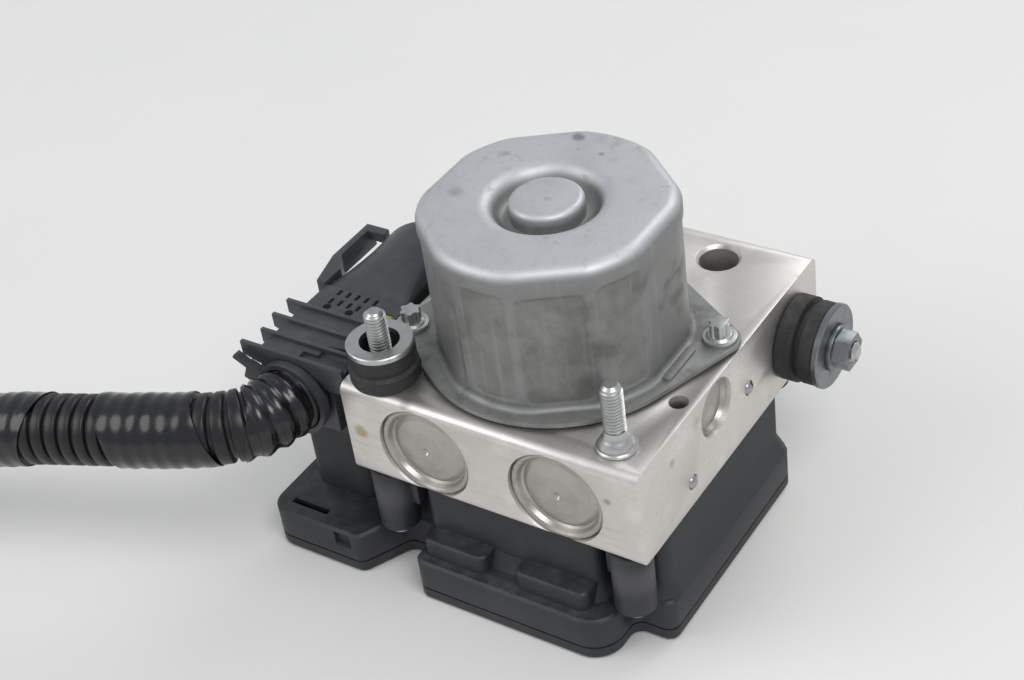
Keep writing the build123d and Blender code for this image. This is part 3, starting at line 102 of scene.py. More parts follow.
# ---------------------------------------------------------------- modelling by hand
class Bench:
    """The modelling operators that every sub-assembly uses."""

    @staticmethod
    def clear() -> None:
        """Leave edit mode and deselect everything."""
        if bpy.context.object and bpy.context.object.mode != "OBJECT":
            bpy.ops.object.mode_set(mode="OBJECT")
        bpy.ops.object.select_all(action="DESELECT")

    @staticmethod
    def hold(piece: bpy.types.Object) -> None:
        """Make one object the only selected and active one."""
        Bench.clear()
        piece.select_set(True)
        bpy.context.view_layer.objects.active = piece

    @staticmethod
    def apply(piece: bpy.types.Object, kind: str, **settings: object) -> None:
        """Add a modifier with its settings and apply it.

        Args:
            piece: The object to change.
            kind: The modifier's type.
            settings: Values of the modifier's properties.
        """
        Bench.hold(piece)
        modifier = piece.modifiers.new(kind.lower(), kind)
        for key, value in settings.items():
            setattr(modifier, key, value)
        bpy.ops.object.modifier_apply(modifier=modifier.name)

    @staticmethod
    def smooth(piece: bpy.types.Object, degrees: float = 35.0) -> None:
        """Shade a piece smooth, apart from its sharp corners."""
        Bench.hold(piece)
        bpy.ops.object.shade_smooth_by_angle(angle=math.radians(degrees))

    @staticmethod
    def outward(piece: bpy.types.Object) -> None:
        """Merge doubled points and turn all faces outwards."""
        Bench.hold(piece)
        bpy.ops.object.mode_set(mode="EDIT")
        bpy.ops.mesh.select_all(action="SELECT")
        bpy.ops.mesh.remove_doubles(threshold=1e-6)
        bpy.ops.mesh.normals_make_consistent(inside=False)
        bpy.ops.object.mode_set(mode="OBJECT")

    @staticmethod
    def turned(name: str, profile: Profile, place: Point, axis: Axis, sides: int = 96) -> bpy.types.Object:
        """Turn a closed or capped profile, as on a lathe.

        Args:
            name: The piece's name.
            profile: Radius and distance along the axis, in millimetres. Where the first and last radius
                are 0 the ends are closed at the axis, and otherwise the last point joins the first.
            place: Start of the axis, in millimetres.
            axis: Direction of the piece's length.
            sides: Faces round the piece.

        Returns:
            The new object, with its place in its mesh.
        """
        ring = [point for point in profile if point[0] > 0]
        capped = profile[0][0] == 0
        Bench.clear()
        radius, height = ring[0]
        bpy.ops.mesh.primitive_circle_add(vertices=sides, radius=radius * MM, location=(0, 0, height * MM))
        piece = bpy.context.object
        piece.name = name
        bpy.ops.object.transform_apply(location=True, rotation=True, scale=True)
        bpy.ops.object.mode_set(mode="EDIT")
        bpy.ops.mesh.select_all(action="SELECT")
        if capped:
            bpy.ops.mesh.edge_face_add()
        stations = ring[1:] if capped else ring[1:] + [ring[0]]
        extrude = bpy.ops.mesh.extrude_edges_move if capped else bpy.ops.mesh.extrude_region_move
        for next_radius, next_height in stations:
            extrude(TRANSFORM_OT_translate={"value": (0, 0, (next_height - height) * MM)})
            scale = next_radius / radius
            bpy.ops.transform.resize(value=(scale, scale, 1), center_override=(0, 0, next_height * MM))
            radius, height = next_radius, next_height
            if capped:
                bpy.ops.mesh.select_mode(type="EDGE")
        if capped:
            bpy.ops.mesh.edge_face_add()
        bpy.ops.object.mode_set(mode="OBJECT")
        piece.data.transform(axis.value.to_matrix().to_4x4())
        piece.data.transform(Matrix.Translation(Vector(place) * MM))
        Bench.outward(piece)
        Bench.smooth(piece)
        return piece

    @staticmethod
    def thread(
        name: str, radius: float, pitch: float, length: float, place: Point, axis: Axis
    ) -> bpy.types.Object:
        """Wind a screw thread with a chamfered tip.

        Args:
            name: The piece's name.
            radius: Crest radius, in millimetres.
            pitch: Rise for each turn, in millimetres.
            length: Length of the threaded rod, in millimetres.
            place: Start of the axis, in millimetres.
            axis: Direction of the piece's length.

        Returns:
            The new object.
        """
        root = radius - 0.64 * pitch
        flank = [(root, 0.0), (root, 0.14), (radius, 0.46), (radius, 0.62), (root, 0.94)]
        Bench.clear()
        bpy.ops.mesh.primitive_plane_add(size=1)
        piece = bpy.context.object
        piece.name = name
        mesh = piece.data
        mesh.clear_geometry()
        points = [(r * MM, 0.0, share * pitch * MM) for r, share in flank] + [(root * MM, 0.0, pitch * MM)]
        mesh.from_pydata(points, [(i, i + 1) for i in range(len(points) - 1)], [])
        turns = int(length / pitch) - 1
        Bench.apply(
            piece, "SCREW", angle=2 * math.pi, screw_offset=pitch * MM, iterations=turns, steps=40,
            render_steps=40, use_merge_vertices=True, merge_threshold=1e-6, use_smooth_shade=True,
        )
        tip = (turns + 1) * pitch
        for vertex in piece.data.vertices:
            reach = math.hypot(vertex.co.x, vertex.co.y)
            room = min(radius, root + 0.75 * max(0.0, tip - 0.1 - vertex.co.z / MM)) * MM
            if reach > room:
                vertex.co.x *= room / reach
                vertex.co.y *= room / reach
        piece.data.transform(axis.value.to_matrix().to_4x4())
        piece.data.transform(Matrix.Translation(Vector(place) * MM))
        Bench.outward(piece)
        Bench.smooth(piece, 50)
        return piece

    @staticmethod
    def joined(name: str, pieces: list[bpy.types.Object]) -> bpy.types.Object:
        """Join several objects into one named piece."""
        Bench.clear()
        for piece in pieces:
            piece.select_set(True)
        bpy.context.view_layer.objects.active = pieces[0]
        bpy.ops.object.join()
        pieces[0].name = name
        return pieces[0]

    @staticmethod
    def eased(node: bpy.types.Object, name: str, width: float, degrees: float = 32.0) -> bpy.types.Object:
        """Copy a frame node and ease its sharp edges, as a mould or a deburring tool leaves them.

        Args:
            node: The frame node to copy.
            name: The new piece's name.
            width: Width of the eased edge, in millimetres.
            degrees: Smallest corner that counts as sharp.

        Returns:
            The new object.
        """
        piece = bpy.data.objects.new(name, node.data.copy())
        bpy.context.scene.collection.objects.link(piece)
        piece.data.materials.clear()
        Bench.hold(piece)
        if piece.data.has_custom_normals:
            bpy.ops.mesh.customdata_custom_splitnormals_clear()
        bpy.ops.object.mode_set(mode="EDIT")
        bpy.ops.mesh.select_all(action="SELECT")
        bpy.ops.mesh.remove_doubles(threshold=2e-6)
        bpy.ops.mesh.dissolve_limited(angle_limit=math.radians(0.4))
        bpy.ops.mesh.mark_sharp(clear=True)
        bpy.ops.object.mode_set(mode="OBJECT")
        Bench.apply(
            piece, "BEVEL", width=width * MM, segments=2, limit_method="ANGLE",
            angle_limit=math.radians(degrees), use_clamp_overlap=True, harden_normals=False,
            miter_outer="MITER_ARC",
        )
        Bench.apply(piece, "TRIANGULATE", min_vertices=5)
        Bench.smooth(piece, 40)
        return piece


# ---------------------------------------------------------------- shared shader effects
class Graph:
    """Small steps that the shared effects and the finishes are put together from."""

    @staticmethod
    def feed(tree: bpy.types.NodeTree, socket: object, value: object) -> None:
        """Link a socket into an input, or set the input to a plain number."""
        if isinstance(value, (int, float)):
            socket.default_value = value
        else:
            tree.links.new(value, socket)

    @staticmethod
    def maths(tree: bpy.types.NodeTree, operation: str, *values: object) -> object:
        """Add a math node.

        Args:
            tree: The tree that gets the node.
            operation: What the node works out.
            values: Sockets or plain numbers, in the order of the node's inputs.

        Returns:
            The node's value socket.
        """
        node = tree.nodes.new("ShaderNodeMath")
        node.operation = operation
        for socket, value in zip(node.inputs, values):
            Graph.feed(tree, socket, value)
        return node.outputs["Value"]

    @staticmethod
    def step(
        tree: bpy.types.NodeTree, value: object, low: object, high: object, kind: str = "SMOOTHSTEP"
    ) -> object:
        """Add a rise from 0 to 1 between two levels and return its result socket."""
        node = tree.nodes.new("ShaderNodeMapRange")
        node.interpolation_type = kind
        Graph.feed(tree, node.inputs["Value"], value)
        Graph.feed(tree, node.inputs["From Min"], low)
        Graph.feed(tree, node.inputs["From Max"], high)
        return node.outputs["Result"]

    @staticmethod
    def cloud(
        tree: bpy.types.NodeTree, place: object, scale: object, detail: float, rough: float = 0.5
    ) -> object:
        """Add a noise texture and return its value socket."""
        node = tree.nodes.new("ShaderNodeTexNoise")
        tree.links.new(place, node.inputs["Vector"])
        Graph.feed(tree, node.inputs["Scale"], scale)
        node.inputs["Detail"].default_value = detail
        node.inputs["Roughness"].default_value = rough
        return node.outputs["Fac"]

    @staticmethod
    def split(tree: bpy.types.NodeTree, place: object) -> object:
        """Part a place or direction into X, Y and Z and return the output sockets."""
        parts = tree.nodes.new("ShaderNodeSeparateXYZ")
        tree.links.new(place, parts.inputs["Vector"])
        return parts.outputs


class Effects:
    """Shader node groups that several finishes share, each built once."""

    def __init__(self) -> None:
        """Build the groups."""
        self.blotch = self._blotch()
        self.streak = self._streak()
        self.dust = self._dust()
        self.spot = self._spot()
        self.panel = self._panel()

    @staticmethod
    def _group(name: str, **values: float | Point) -> tuple[bpy.types.NodeTree, object, object]:
        """Start a group that takes a place and some values and puts out a mask.

        Args:
            name: The group's name.
            values: Name and default of each value that it takes.

        Returns:
            The tree, the sockets that its input node gives and the mask socket of its output node.
        """
        tree = bpy.data.node_groups.new(name, "ShaderNodeTree")
        tree.interface.new_socket("Vector", in_out="INPUT", socket_type="NodeSocketVector")
        for label, value in values.items():
            kind = "NodeSocketVector" if isinstance(value, tuple) else "NodeSocketFloat"
            tree.interface.new_socket(label, in_out="INPUT", socket_type=kind).default_value = value
        tree.interface.new_socket("Mask", in_out="OUTPUT", socket_type="NodeSocketFloat")
        start = tree.nodes.new("NodeGroupInput").outputs
        return tree, start, tree.nodes.new("NodeGroupOutput").inputs["Mask"]

    def _blotch(self) -> bpy.types.NodeTree:
        """Cloudy patches at a scale, between two noise levels."""
        tree, start, end = self._group("blotch", Scale=60.0, Low=0.45, High=0.7)
        cloud = Graph.cloud(tree, start["Vector"], start["Scale"], 7.0, 0.62)
        tree.links.new(Graph.step(tree, cloud, start["Low"], start["High"]), end)
        return tree

    def _streak(self) -> bpy.types.NodeTree:
        """Fine lines drawn out along one axis, as a cutter or handling leaves them."""
        tree, start, end = self._group("streak", Stretch=(1.0, 1.0, 1.0), Scale=400.0, Low=0.5, High=0.7)
        drawn = tree.nodes.new("ShaderNodeVectorMath")
        drawn.operation = "MULTIPLY"
        tree.links.new(start["Vector"], drawn.inputs[0])
        tree.links.new(start["Stretch"], drawn.inputs[1])
        cloud = Graph.cloud(tree, drawn.outputs["Vector"], start["Scale"], 4.0)
        tree.links.new(Graph.step(tree, cloud, start["Low"], start["High"]), end)
        return tree

    def _dust(self) -> bpy.types.NodeTree:
        """Dust on faces that look up, broken by patches."""
        tree, start, end = self._group("dust", Scale=220.0, Amount=0.3)
        upward = Graph.split(tree, tree.nodes.new("ShaderNodeNewGeometry").outputs["Normal"])["Z"]
        level = Graph.step(tree, upward, 0.2, 1.0, "LINEAR")
        cloud = Graph.cloud(tree, start["Vector"], start["Scale"], 8.0, 0.7)
        fleck = Graph.step(tree, cloud, 0.42, 0.68, "LINEAR")
        dusty = Graph.maths(tree, "MULTIPLY", level, fleck)
        tree.links.new(Graph.maths(tree, "MULTIPLY", dusty, start["Amount"]), end)
        return tree

    def _spot(self) -> bpy.types.NodeTree:
        """One soft-edged, ragged mark round a place."""
        tree, start, end = self._group("spot", Place=(0.0, 0.0, 0.0), Radius=0.004, Ragged=0.6)
        far = tree.nodes.new("ShaderNodeVectorMath")
        far.operation = "DISTANCE"
        tree.links.new(start["Vector"], far.inputs[0])
        tree.links.new(start["Place"], far.inputs[1])
        share = Graph.maths(tree, "DIVIDE", far.outputs["Value"], start["Radius"])
        torn = Graph.maths(tree, "MULTIPLY", Graph.cloud(tree, start["Vector"], 500.0, 6.0), start["Ragged"])
        tree.links.new(Graph.step(tree, Graph.maths(tree, "ADD", share, torn), 1.3, 0.6), end)
        return tree

    def _panel(self) -> bpy.types.NodeTree:
        """Inside of one pressed panel on a round wall, between two angles and two heights."""
        tree, start, end = self._group("panel", Angle=0.0, Half=0.3, Middle=0.09, Reach=0.02)
        parts = Graph.split(tree, start["Vector"])
        turn = Graph.maths(tree, "ARCTAN2", parts["Y"], parts["X"])
        aside = Graph.maths(tree, "ABSOLUTE", Graph.maths(tree, "SUBTRACT", turn, start["Angle"]))
        room = Graph.maths(tree, "SUBTRACT", start["Half"], aside)
        across = Graph.maths(tree, "MULTIPLY", room, CAN_RADIUS * MM)
        high = Graph.maths(tree, "ABSOLUTE", Graph.maths(tree, "SUBTRACT", parts["Z"], start["Middle"]))
        along = Graph.maths(tree, "SUBTRACT", start["Reach"], high)
        inside = Graph.maths(tree, "SMOOTH_MIN", across, along, PANEL_CORNER * MM)
        tree.links.new(Graph.step(tree, inside, 0.2 * MM, 1.5 * MM), end)
        return tree


# ---------------------------------------------------------------- finishes
@dataclass(frozen=True)
class Panel:
    """Pressed panel of a round wall: its angles in degrees, its heights in millimetres, and the darker
    colour painted inside it.
    """

    start: float
    end: float
    bottom: float
    top: float
    colour: Colour
    strength: float = 0.8
    depth: float = 0.00025


@dataclass(frozen=True)
class Patch:
    """Cloudy change of colour and roughness."""

    colour: Colour
    scale: float
    low: float
    high: float
    strength: float = 1.0
    rough: float = 0.0
    above: float | None = None
    below: float | None = None
    soft: float = 5.0


@dataclass(frozen=True)
class Lines:
    """Fine directional lines: their colour, stretch, and depth in the surface."""

    colour: Colour
    stretch: Point
    scale: float
    low: float = 0.5
    high: float = 0.72
    strength: float = 0.5
    rough: float = 0.0
    depth: float = 0.0


@dataclass(frozen=True)
class Mark:
    """One local mark of another colour round a place in millimetres, such as a stain, a nick or painted
    shade inside a hole.
    """

    colour: Colour
    place: Point
    radius: float
    strength: float = 0.7
    ragged: float = 0.6


@dataclass(frozen=True)
class Finish:
    """A procedural finish of one material."""

    name: str
    colour: Colour
    rough: float
    metallic: float = 0.0
    patches: tuple[Patch, ...] = ()
    lines: tuple[Lines, ...] = ()
    marks: tuple[Mark, ...] = ()
    panels: tuple[Panel, ...] = ()
    grain_scale: float = 900.0
    grain_height: float = 0.00003
    swell_scale: float = 0.0
    swell_height: float = 0.0
    dust: float = 0.0
    dust_colour: Colour = (0.34, 0.32, 0.29)
    coat: float = 0.0

    def build(self, effects: Effects) -> bpy.types.Material:
        """Make the material.

        Args:
            effects: The shared node groups.

        Returns:
            The new material.
        """
        material = bpy.data.materials.new(self.name)
        material.use_nodes = True
        tree = material.node_tree
        shader = tree.nodes["Principled BSDF"]
        shader.inputs["Metallic"].default_value = self.metallic
        shader.inputs["Coat Weight"].default_value = self.coat
        place = tree.nodes.new("ShaderNodeTexCoord").outputs["Object"]
        colour = tree.nodes.new("ShaderNodeRGB").outputs["Color"]
        colour.default_value = (*self.colour, 1.0)
        rough = tree.nodes.new("ShaderNodeValue").outputs["Value"]
        rough.default_value = self.rough
        height: object | None = None
        for patch in self.patches:
            levels = {"Scale": patch.scale, "Low": patch.low, "High": patch.high}
            mask = self._zone(tree, place, self._call(tree, effects.blotch, place, **levels), patch)
            colour = self._mix(tree, colour, patch.colour, mask, patch.strength)
            rough = self._add(tree, rough, mask, patch.rough)
        for panel in self.panels:
            mask = self._panel(tree, effects, panel)
            # The panel's inside is painted darker, in cloudy patches.
            darkened = Graph.maths(tree, "MULTIPLY", mask, self._call(tree, effects.blotch, place, **PANEL_CLOUDS))
            colour = self._mix(tree, colour, panel.colour, darkened, panel.strength)
            height = self._sum(tree, height, mask, -panel.depth)
        for line in self.lines:
            mask = self._call(
                tree, effects.streak, place,
                Stretch=line.stretch, Scale=line.scale, Low=line.low, High=line.high,
            )
            colour = self._mix(tree, colour, line.colour, mask, line.strength)
            rough = self._add(tree, rough, mask, line.rough)
            if line.depth:
                height = self._sum(tree, height, mask, -line.depth)
        for mark in self.marks:
            mask = self._call(
                tree, effects.spot, place, Place=tuple(Vector(mark.place) * MM), Radius=mark.radius * MM,
                Ragged=mark.ragged,
            )
            colour = self._mix(tree, colour, mark.colour, mask, mark.strength)
        if self.dust:
            mask = self._call(tree, effects.dust, place, Amount=self.dust)
            colour = self._mix(tree, colour, self.dust_colour, mask, 1.0)
            rough = self._add(tree, rough, mask, 0.3)
        height = self._sum(tree, height, Graph.cloud(tree, place, self.grain_scale, 5.0), self.grain_height)
        if self.swell_height:
            swell = Graph.cloud(tree, place, self.swell_scale, 2.0)
            height = self._sum(tree, height, swell, self.swell_height)
        bump = tree.nodes.new("ShaderNodeBump")
        bump.inputs["Distance"].default_value = 1.0
        tree.links.new(height, bump.inputs["Height"])
        tree.links.new(bump.outputs["Normal"], shader.inputs["Normal"])
        tree.links.new(colour, shader.inputs["Base Color"])
        tree.links.new(rough, shader.inputs["Roughness"])
        return material

    @staticmethod
    def _call(
        tree: bpy.types.NodeTree, group: bpy.types.NodeTree, place: object, **values: object
    ) -> object:
        """Place a shared group with its values and return its mask socket."""
        node = tree.nodes.new("ShaderNodeGroup")
        node.node_tree = group
        tree.links.new(place, node.inputs["Vector"])
        for key, value in values.items():
            node.inputs[key].default_value = value
        return node.outputs["Mask"]

    @staticmethod
    def _panel(tree: bpy.types.NodeTree, effects: Effects, panel: Panel) -> object:
        """Centre a panel on the motor's axis and return its mask socket."""
        middle = tree.nodes.new("ShaderNodeMapping")
        middle.inputs["Location"].default_value = (0.0, -CAN_AXIS_Y * MM, 0.0)
        tree.links.new(tree.nodes.new("ShaderNodeTexCoord").outputs["Object"], middle.inputs["Vector"])
        return Finish._call(
            tree, effects.panel, middle.outputs["Vector"],
            Angle=math.radians((panel.start + panel.end) / 2),
            Half=math.radians((panel.end - panel.start) / 2),
            Middle=(panel.bottom + panel.top) / 2 * MM, Reach=(panel.top - panel.bottom) / 2 * MM,
        )

    @staticmethod
    def _zone(tree: bpy.types.NodeTree, place: object, mask: object, patch: Patch) -> object:
        """Keep a patch above or below a height, with a soft edge, and return the new mask."""
        for limit, sign in ((patch.above, 1.0), (patch.below, -1.0)):
            if limit is None:
                continue
            height = Graph.split(tree, place)["Z"]
            low, high = (limit - sign * patch.soft) * MM, (limit + sign * patch.soft) * MM
            mask = Graph.maths(tree, "MULTIPLY", mask, Graph.step(tree, height, low, high))
        return mask

    @staticmethod
    def _mix(tree: bpy.types.NodeTree, under: object, over: Colour, mask: object, strength: float) -> object:
        """Lay a colour over another through a mask and return the mixed colour."""
        mix = tree.nodes.new("ShaderNodeMix")
        mix.data_type = "RGBA"
        mix.inputs[7].default_value = (*over, 1.0)
        tree.links.new(Graph.maths(tree, "MULTIPLY", mask, strength), mix.inputs[0])
        tree.links.new(under, mix.inputs[6])
        return mix.outputs[2]

    @staticmethod
    def _add(tree: bpy.types.NodeTree, value: object, mask: object, amount: float) -> object:
        """Add a share of a mask to a value."""
        return Graph.maths(tree, "MULTIPLY_ADD", mask, amount, value) if amount else value

    @staticmethod
    def _sum(tree: bpy.types.NodeTree, height: object | None, mask: object, amount: float) -> object:
        """Add a mask times a height in metres to the relief."""
        return Graph.maths(tree, "MULTIPLY_ADD", mask, amount, 0.0 if height is None else height)


BLOCK_METAL = Finish(
    "machined_aluminium", (0.72, 0.69, 0.66), 0.44, 1.0,
    patches=(
        Patch((0.66, 0.63, 0.60), 38.0, 0.48, 0.75, 0.5, 0.08),
        Patch((0.88, 0.85, 0.82), 90.0, 0.5, 0.7, 0.5),
    ),
    lines=(
        Lines((0.55, 0.52, 0.49), (0.05, 1.0, 1.0), 1500.0, 0.5, 0.75, 0.32, 0.08, 0.000006),
        Lines((0.40, 0.37, 0.34), (0.03, 0.6, 1.0), 700.0, 0.66, 0.74, 0.45, 0.1, 0.00001),
    ),
    marks=(
        Mark((0.42, 0.36, 0.16), (-41.5, -51.7, 53.5), 3.2, 0.75),
        Mark((0.30, 0.28, 0.26), (-25.0, -50.5, 68.2), 2.4, 0.6),
        Mark((0.25, 0.24, 0.23), (37.0, -51.7, 58.0), 1.6, 0.6),
        Mark((0.30, 0.29, 0.28), (46.0, -34.0, 60.0), 2.0, 0.5),
        # Dark spots inside the tapped hole on the top and inside the two ports: painted shade in the
        # recesses.
        Mark((0.10, 0.10, 0.10), (41.4, -20.6, 63.0), 4.4, 0.95, 0.1),
        Mark((0.07, 0.07, 0.07), (21.5, 40.3, 60.4), 6.6, 0.95, 0.1),
        Mark((0.07, 0.07, 0.07), (-21.5, 40.3, 60.4), 6.6, 0.95, 0.1),
    ),
    grain_scale=1600.0, grain_height=0.000012,
)
# Darker colour painted inside the can's pressed panels, in cloudy patches.
CAN_PANEL_DARK = (0.20, 0.196, 0.184)
MOTOR_STEEL = Finish(
    "galvanised_steel", (0.275, 0.278, 0.272), 0.54, 0.85,
    patches=(
        Patch((0.40, 0.40, 0.385), 34.0, 0.46, 0.70, 0.5, 0.05, below=108.0),
        Patch((0.13, 0.128, 0.12), 75.0, 0.50, 0.66, 0.55, 0.08, below=106.0),
        Patch((0.60, 0.61, 0.62), 30.0, -1.0, -0.5, 1.0, 0.0, above=112.6, soft=1.4),
        Patch((0.46, 0.47, 0.48), 34.0, 0.44, 0.72, 0.8, 0.05, above=112.8, soft=1.4),
        Patch((0.20, 0.20, 0.195), 170.0, 0.60, 0.74, 0.4, 0.05),
    ),
    lines=(Lines((0.42, 0.42, 0.41), (1.0, 1.0, 0.06), 500.0, 0.55, 0.75, 0.3, 0.05, 0.000006),),
    marks=(
        Mark((0.12, 0.12, 0.12), (-7.0, 19.0, 114.6), 2.6, 0.6),
        Mark((0.14, 0.14, 0.14), (3.0, 14.0, 114.6), 1.2, 0.5),
        Mark((0.22, 0.22, 0.21), (-24.0, -16.0, 114.6), 3.0, 0.35),
        Mark((0.10, 0.10, 0.10), (24.0, -34.0, 78.0), 6.0, 0.55),
    ),
    panels=(
        Panel(-101.7, -77.2, 73.0, 108.6, CAN_PANEL_DARK, 0.7), Panel(-75.6, -42.4, 72.0, 107.4, CAN_PANEL_DARK, 0.65),
        Panel(-40.4, -16.0, 73.0, 109.0, CAN_PANEL_DARK, 0.5), Panel(-126.0, -104.0, 73.0, 107.0, CAN_PANEL_DARK, 0.35),
    ),
    grain_scale=700.0, grain_height=0.00002, swell_scale=55.0, swell_height=0.0003,
)
ZINC_STEEL = Finish(
    "zinc_plate", (0.52, 0.525, 0.52), 0.36, 1.0,
    patches=(Patch((0.36, 0.36, 0.35), 260.0, 0.5, 0.7, 0.6, 0.12),),
    lines=(Lines((0.42, 0.42, 0.41), (1.0, 1.0, 0.2), 1800.0, 0.5, 0.75, 0.4, 0.08, 0.000004),),
    grain_scale=2000.0, grain_height=0.00001,
)
WASHER_STEEL = Finish(
    "blue_zinc_plate", (0.24, 0.255, 0.265), 0.36, 1.0,
    patches=(Patch((0.16, 0.168, 0.172), 200.0, 0.45, 0.7, 0.7, 0.1),),
    grain_scale=2000.0, grain_height=0.00001,
)
CAP_STEEL = Finish(
    "pressed_cap", (0.46, 0.44, 0.41), 0.36, 1.0,
    patches=(Patch((0.34, 0.325, 0.30), 120.0, 0.45, 0.7, 0.5, 0.1),),
    lines=(Lines((0.56, 0.54, 0.51), (1.0, 1.0, 0.25), 1100.0, 0.55, 0.8, 0.3, 0.05, 0.000003),),
    grain_scale=1400.0, grain_height=0.00001,
)
RUBBER = Finish(
    "moulded_rubber", (0.018, 0.018, 0.019), 0.62,
    patches=(Patch((0.042, 0.042, 0.042), 130.0, 0.5, 0.75, 0.8, 0.08),),
    grain_scale=1500.0, grain_height=0.00003, dust=0.12,
)
ECU_PLASTIC = Finish(
    "controller_plastic", (0.018, 0.0195, 0.0225), 0.50,
    patches=(Patch((0.036, 0.037, 0.04), 60.0, 0.45, 0.75, 0.7, 0.06),),
    lines=(Lines((0.07, 0.07, 0.07), (1.0, 0.3, 0.3), 900.0, 0.70, 0.78, 0.4),),
    marks=(
        Mark((0.075, 0.075, 0.078), (38.6, -46.0, 30.0), 7.5, 0.9, 0.1),
        Mark((0.075, 0.075, 0.078), (-38.6, -46.0, 30.0), 7.5, 0.9, 0.1),
    ),
    grain_scale=2600.0, grain_height=0.00003, dust=0.16, dust_colour=(0.20, 0.20, 0.20),
)
PLUG_PLASTIC = Finish(
    "plug_plastic", (0.040, 0.042, 0.047), 0.38,
    patches=(Patch((0.065, 0.067, 0.072), 70.0, 0.48, 0.75, 0.6, 0.1),),
    grain_scale=2400.0, grain_height=0.00002, dust=0.10, dust_colour=(0.20, 0.20, 0.20),
)
CONDUIT_PLASTIC = Finish(
    "conduit_plastic", (0.004, 0.004, 0.005), 0.38,
    patches=(Patch((0.02, 0.02, 0.02), 160.0, 0.55, 0.8, 0.7, 0.2),),
    grain_scale=900.0, grain_height=0.00004, dust=0.02,
)
TAPE = Finish(
    "harness_tape", (0.004, 0.004, 0.0055), 0.24,
    patches=(
        Patch((0.02, 0.02, 0.022), 110.0, 0.55, 0.8, 0.6, 0.25),
        # Small bluish flecks: painted sheen of the crinkled tape.
        Patch((0.09, 0.10, 0.12), 420.0, 0.66, 0.74, 0.55, 0.1),
    ),
    grain_scale=600.0, grain_height=0.00004, dust=0.02, coat=0.2,
)
OLIVE = Finish("olive_plastic", (0.28, 0.27, 0.05), 0.45)
COPPER = Finish("winding_copper", (0.72, 0.36, 0.17), 0.35, 1.0, grain_scale=1200.0)
BRASS = Finish("contact_brass", (0.72, 0.56, 0.28), 0.32, 1.0)
BRIGHT_STEEL = Finish("ground_steel", (0.40, 0.395, 0.385), 0.32, 1.0)
FERRITE = Finish("ferrite", (0.05, 0.05, 0.05), 0.6)
BOARD = Finish("circuit_board", (0.015, 0.14, 0.06), 0.35)
FLOOR = Finish(
    "pale_floor", (0.765, 0.755, 0.738), 0.7,
    patches=(
        Patch((0.74, 0.735, 0.72), 9.0, 0.4, 0.7, 0.5), Patch((0.42, 0.41, 0.40), 160.0, 0.715, 0.74, 0.5),
    ),
    grain_scale=500.0, grain_height=0.00004,
)


class Paint:
    """Makes each finish once and lays it on pieces."""

    def __init__(self) -> None:
        """Build the shared effects."""
        self.effects = Effects()
        self.made: dict[str, bpy.types.Material] = {}

    def lay(self, piece: bpy.types.Object, finish: Finish) -> None:
        """Give the whole piece one finish."""
        if finish.name not in self.made:
            self.made[finish.name] = finish.build(self.effects)
        piece.data.materials.clear()
        piece.data.materials.append(self.made[finish.name])


@dataclass
class Workshop:
    """What every sub-assembly needs: the frame and the paint."""

    frame: dict[str, object]
    paint: Paint

    def node(self, name: str) -> bpy.types.Object:
        """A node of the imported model."""
        return self.frame["nodes"][name]

    def dress(self, finish: Finish, *names: str) -> None:
        """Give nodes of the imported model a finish."""
        for name in names:
            self.paint.lay(self.node(name), finish)

    def fit(self, piece: bpy.types.Object, finish: Finish, slot: str, body: Body, *nodes: str) -> None:
        """Finish a new piece, let it ride on its body and stand for the nodes that it replaces.

        Args:
            piece: The new piece, in place.
            finish: Its finish.
            slot: The record's material slot; not used.
            body: The body that carries it.
            nodes: Nodes that it replaces.
        """
        self.paint.lay(piece, finish)
        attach(piece, body.value)
        if nodes:
            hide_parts(*nodes)
        LOG.info("%s: %d faces", piece.name, len(piece.data.polygons) if piece.type == "MESH" else 0)


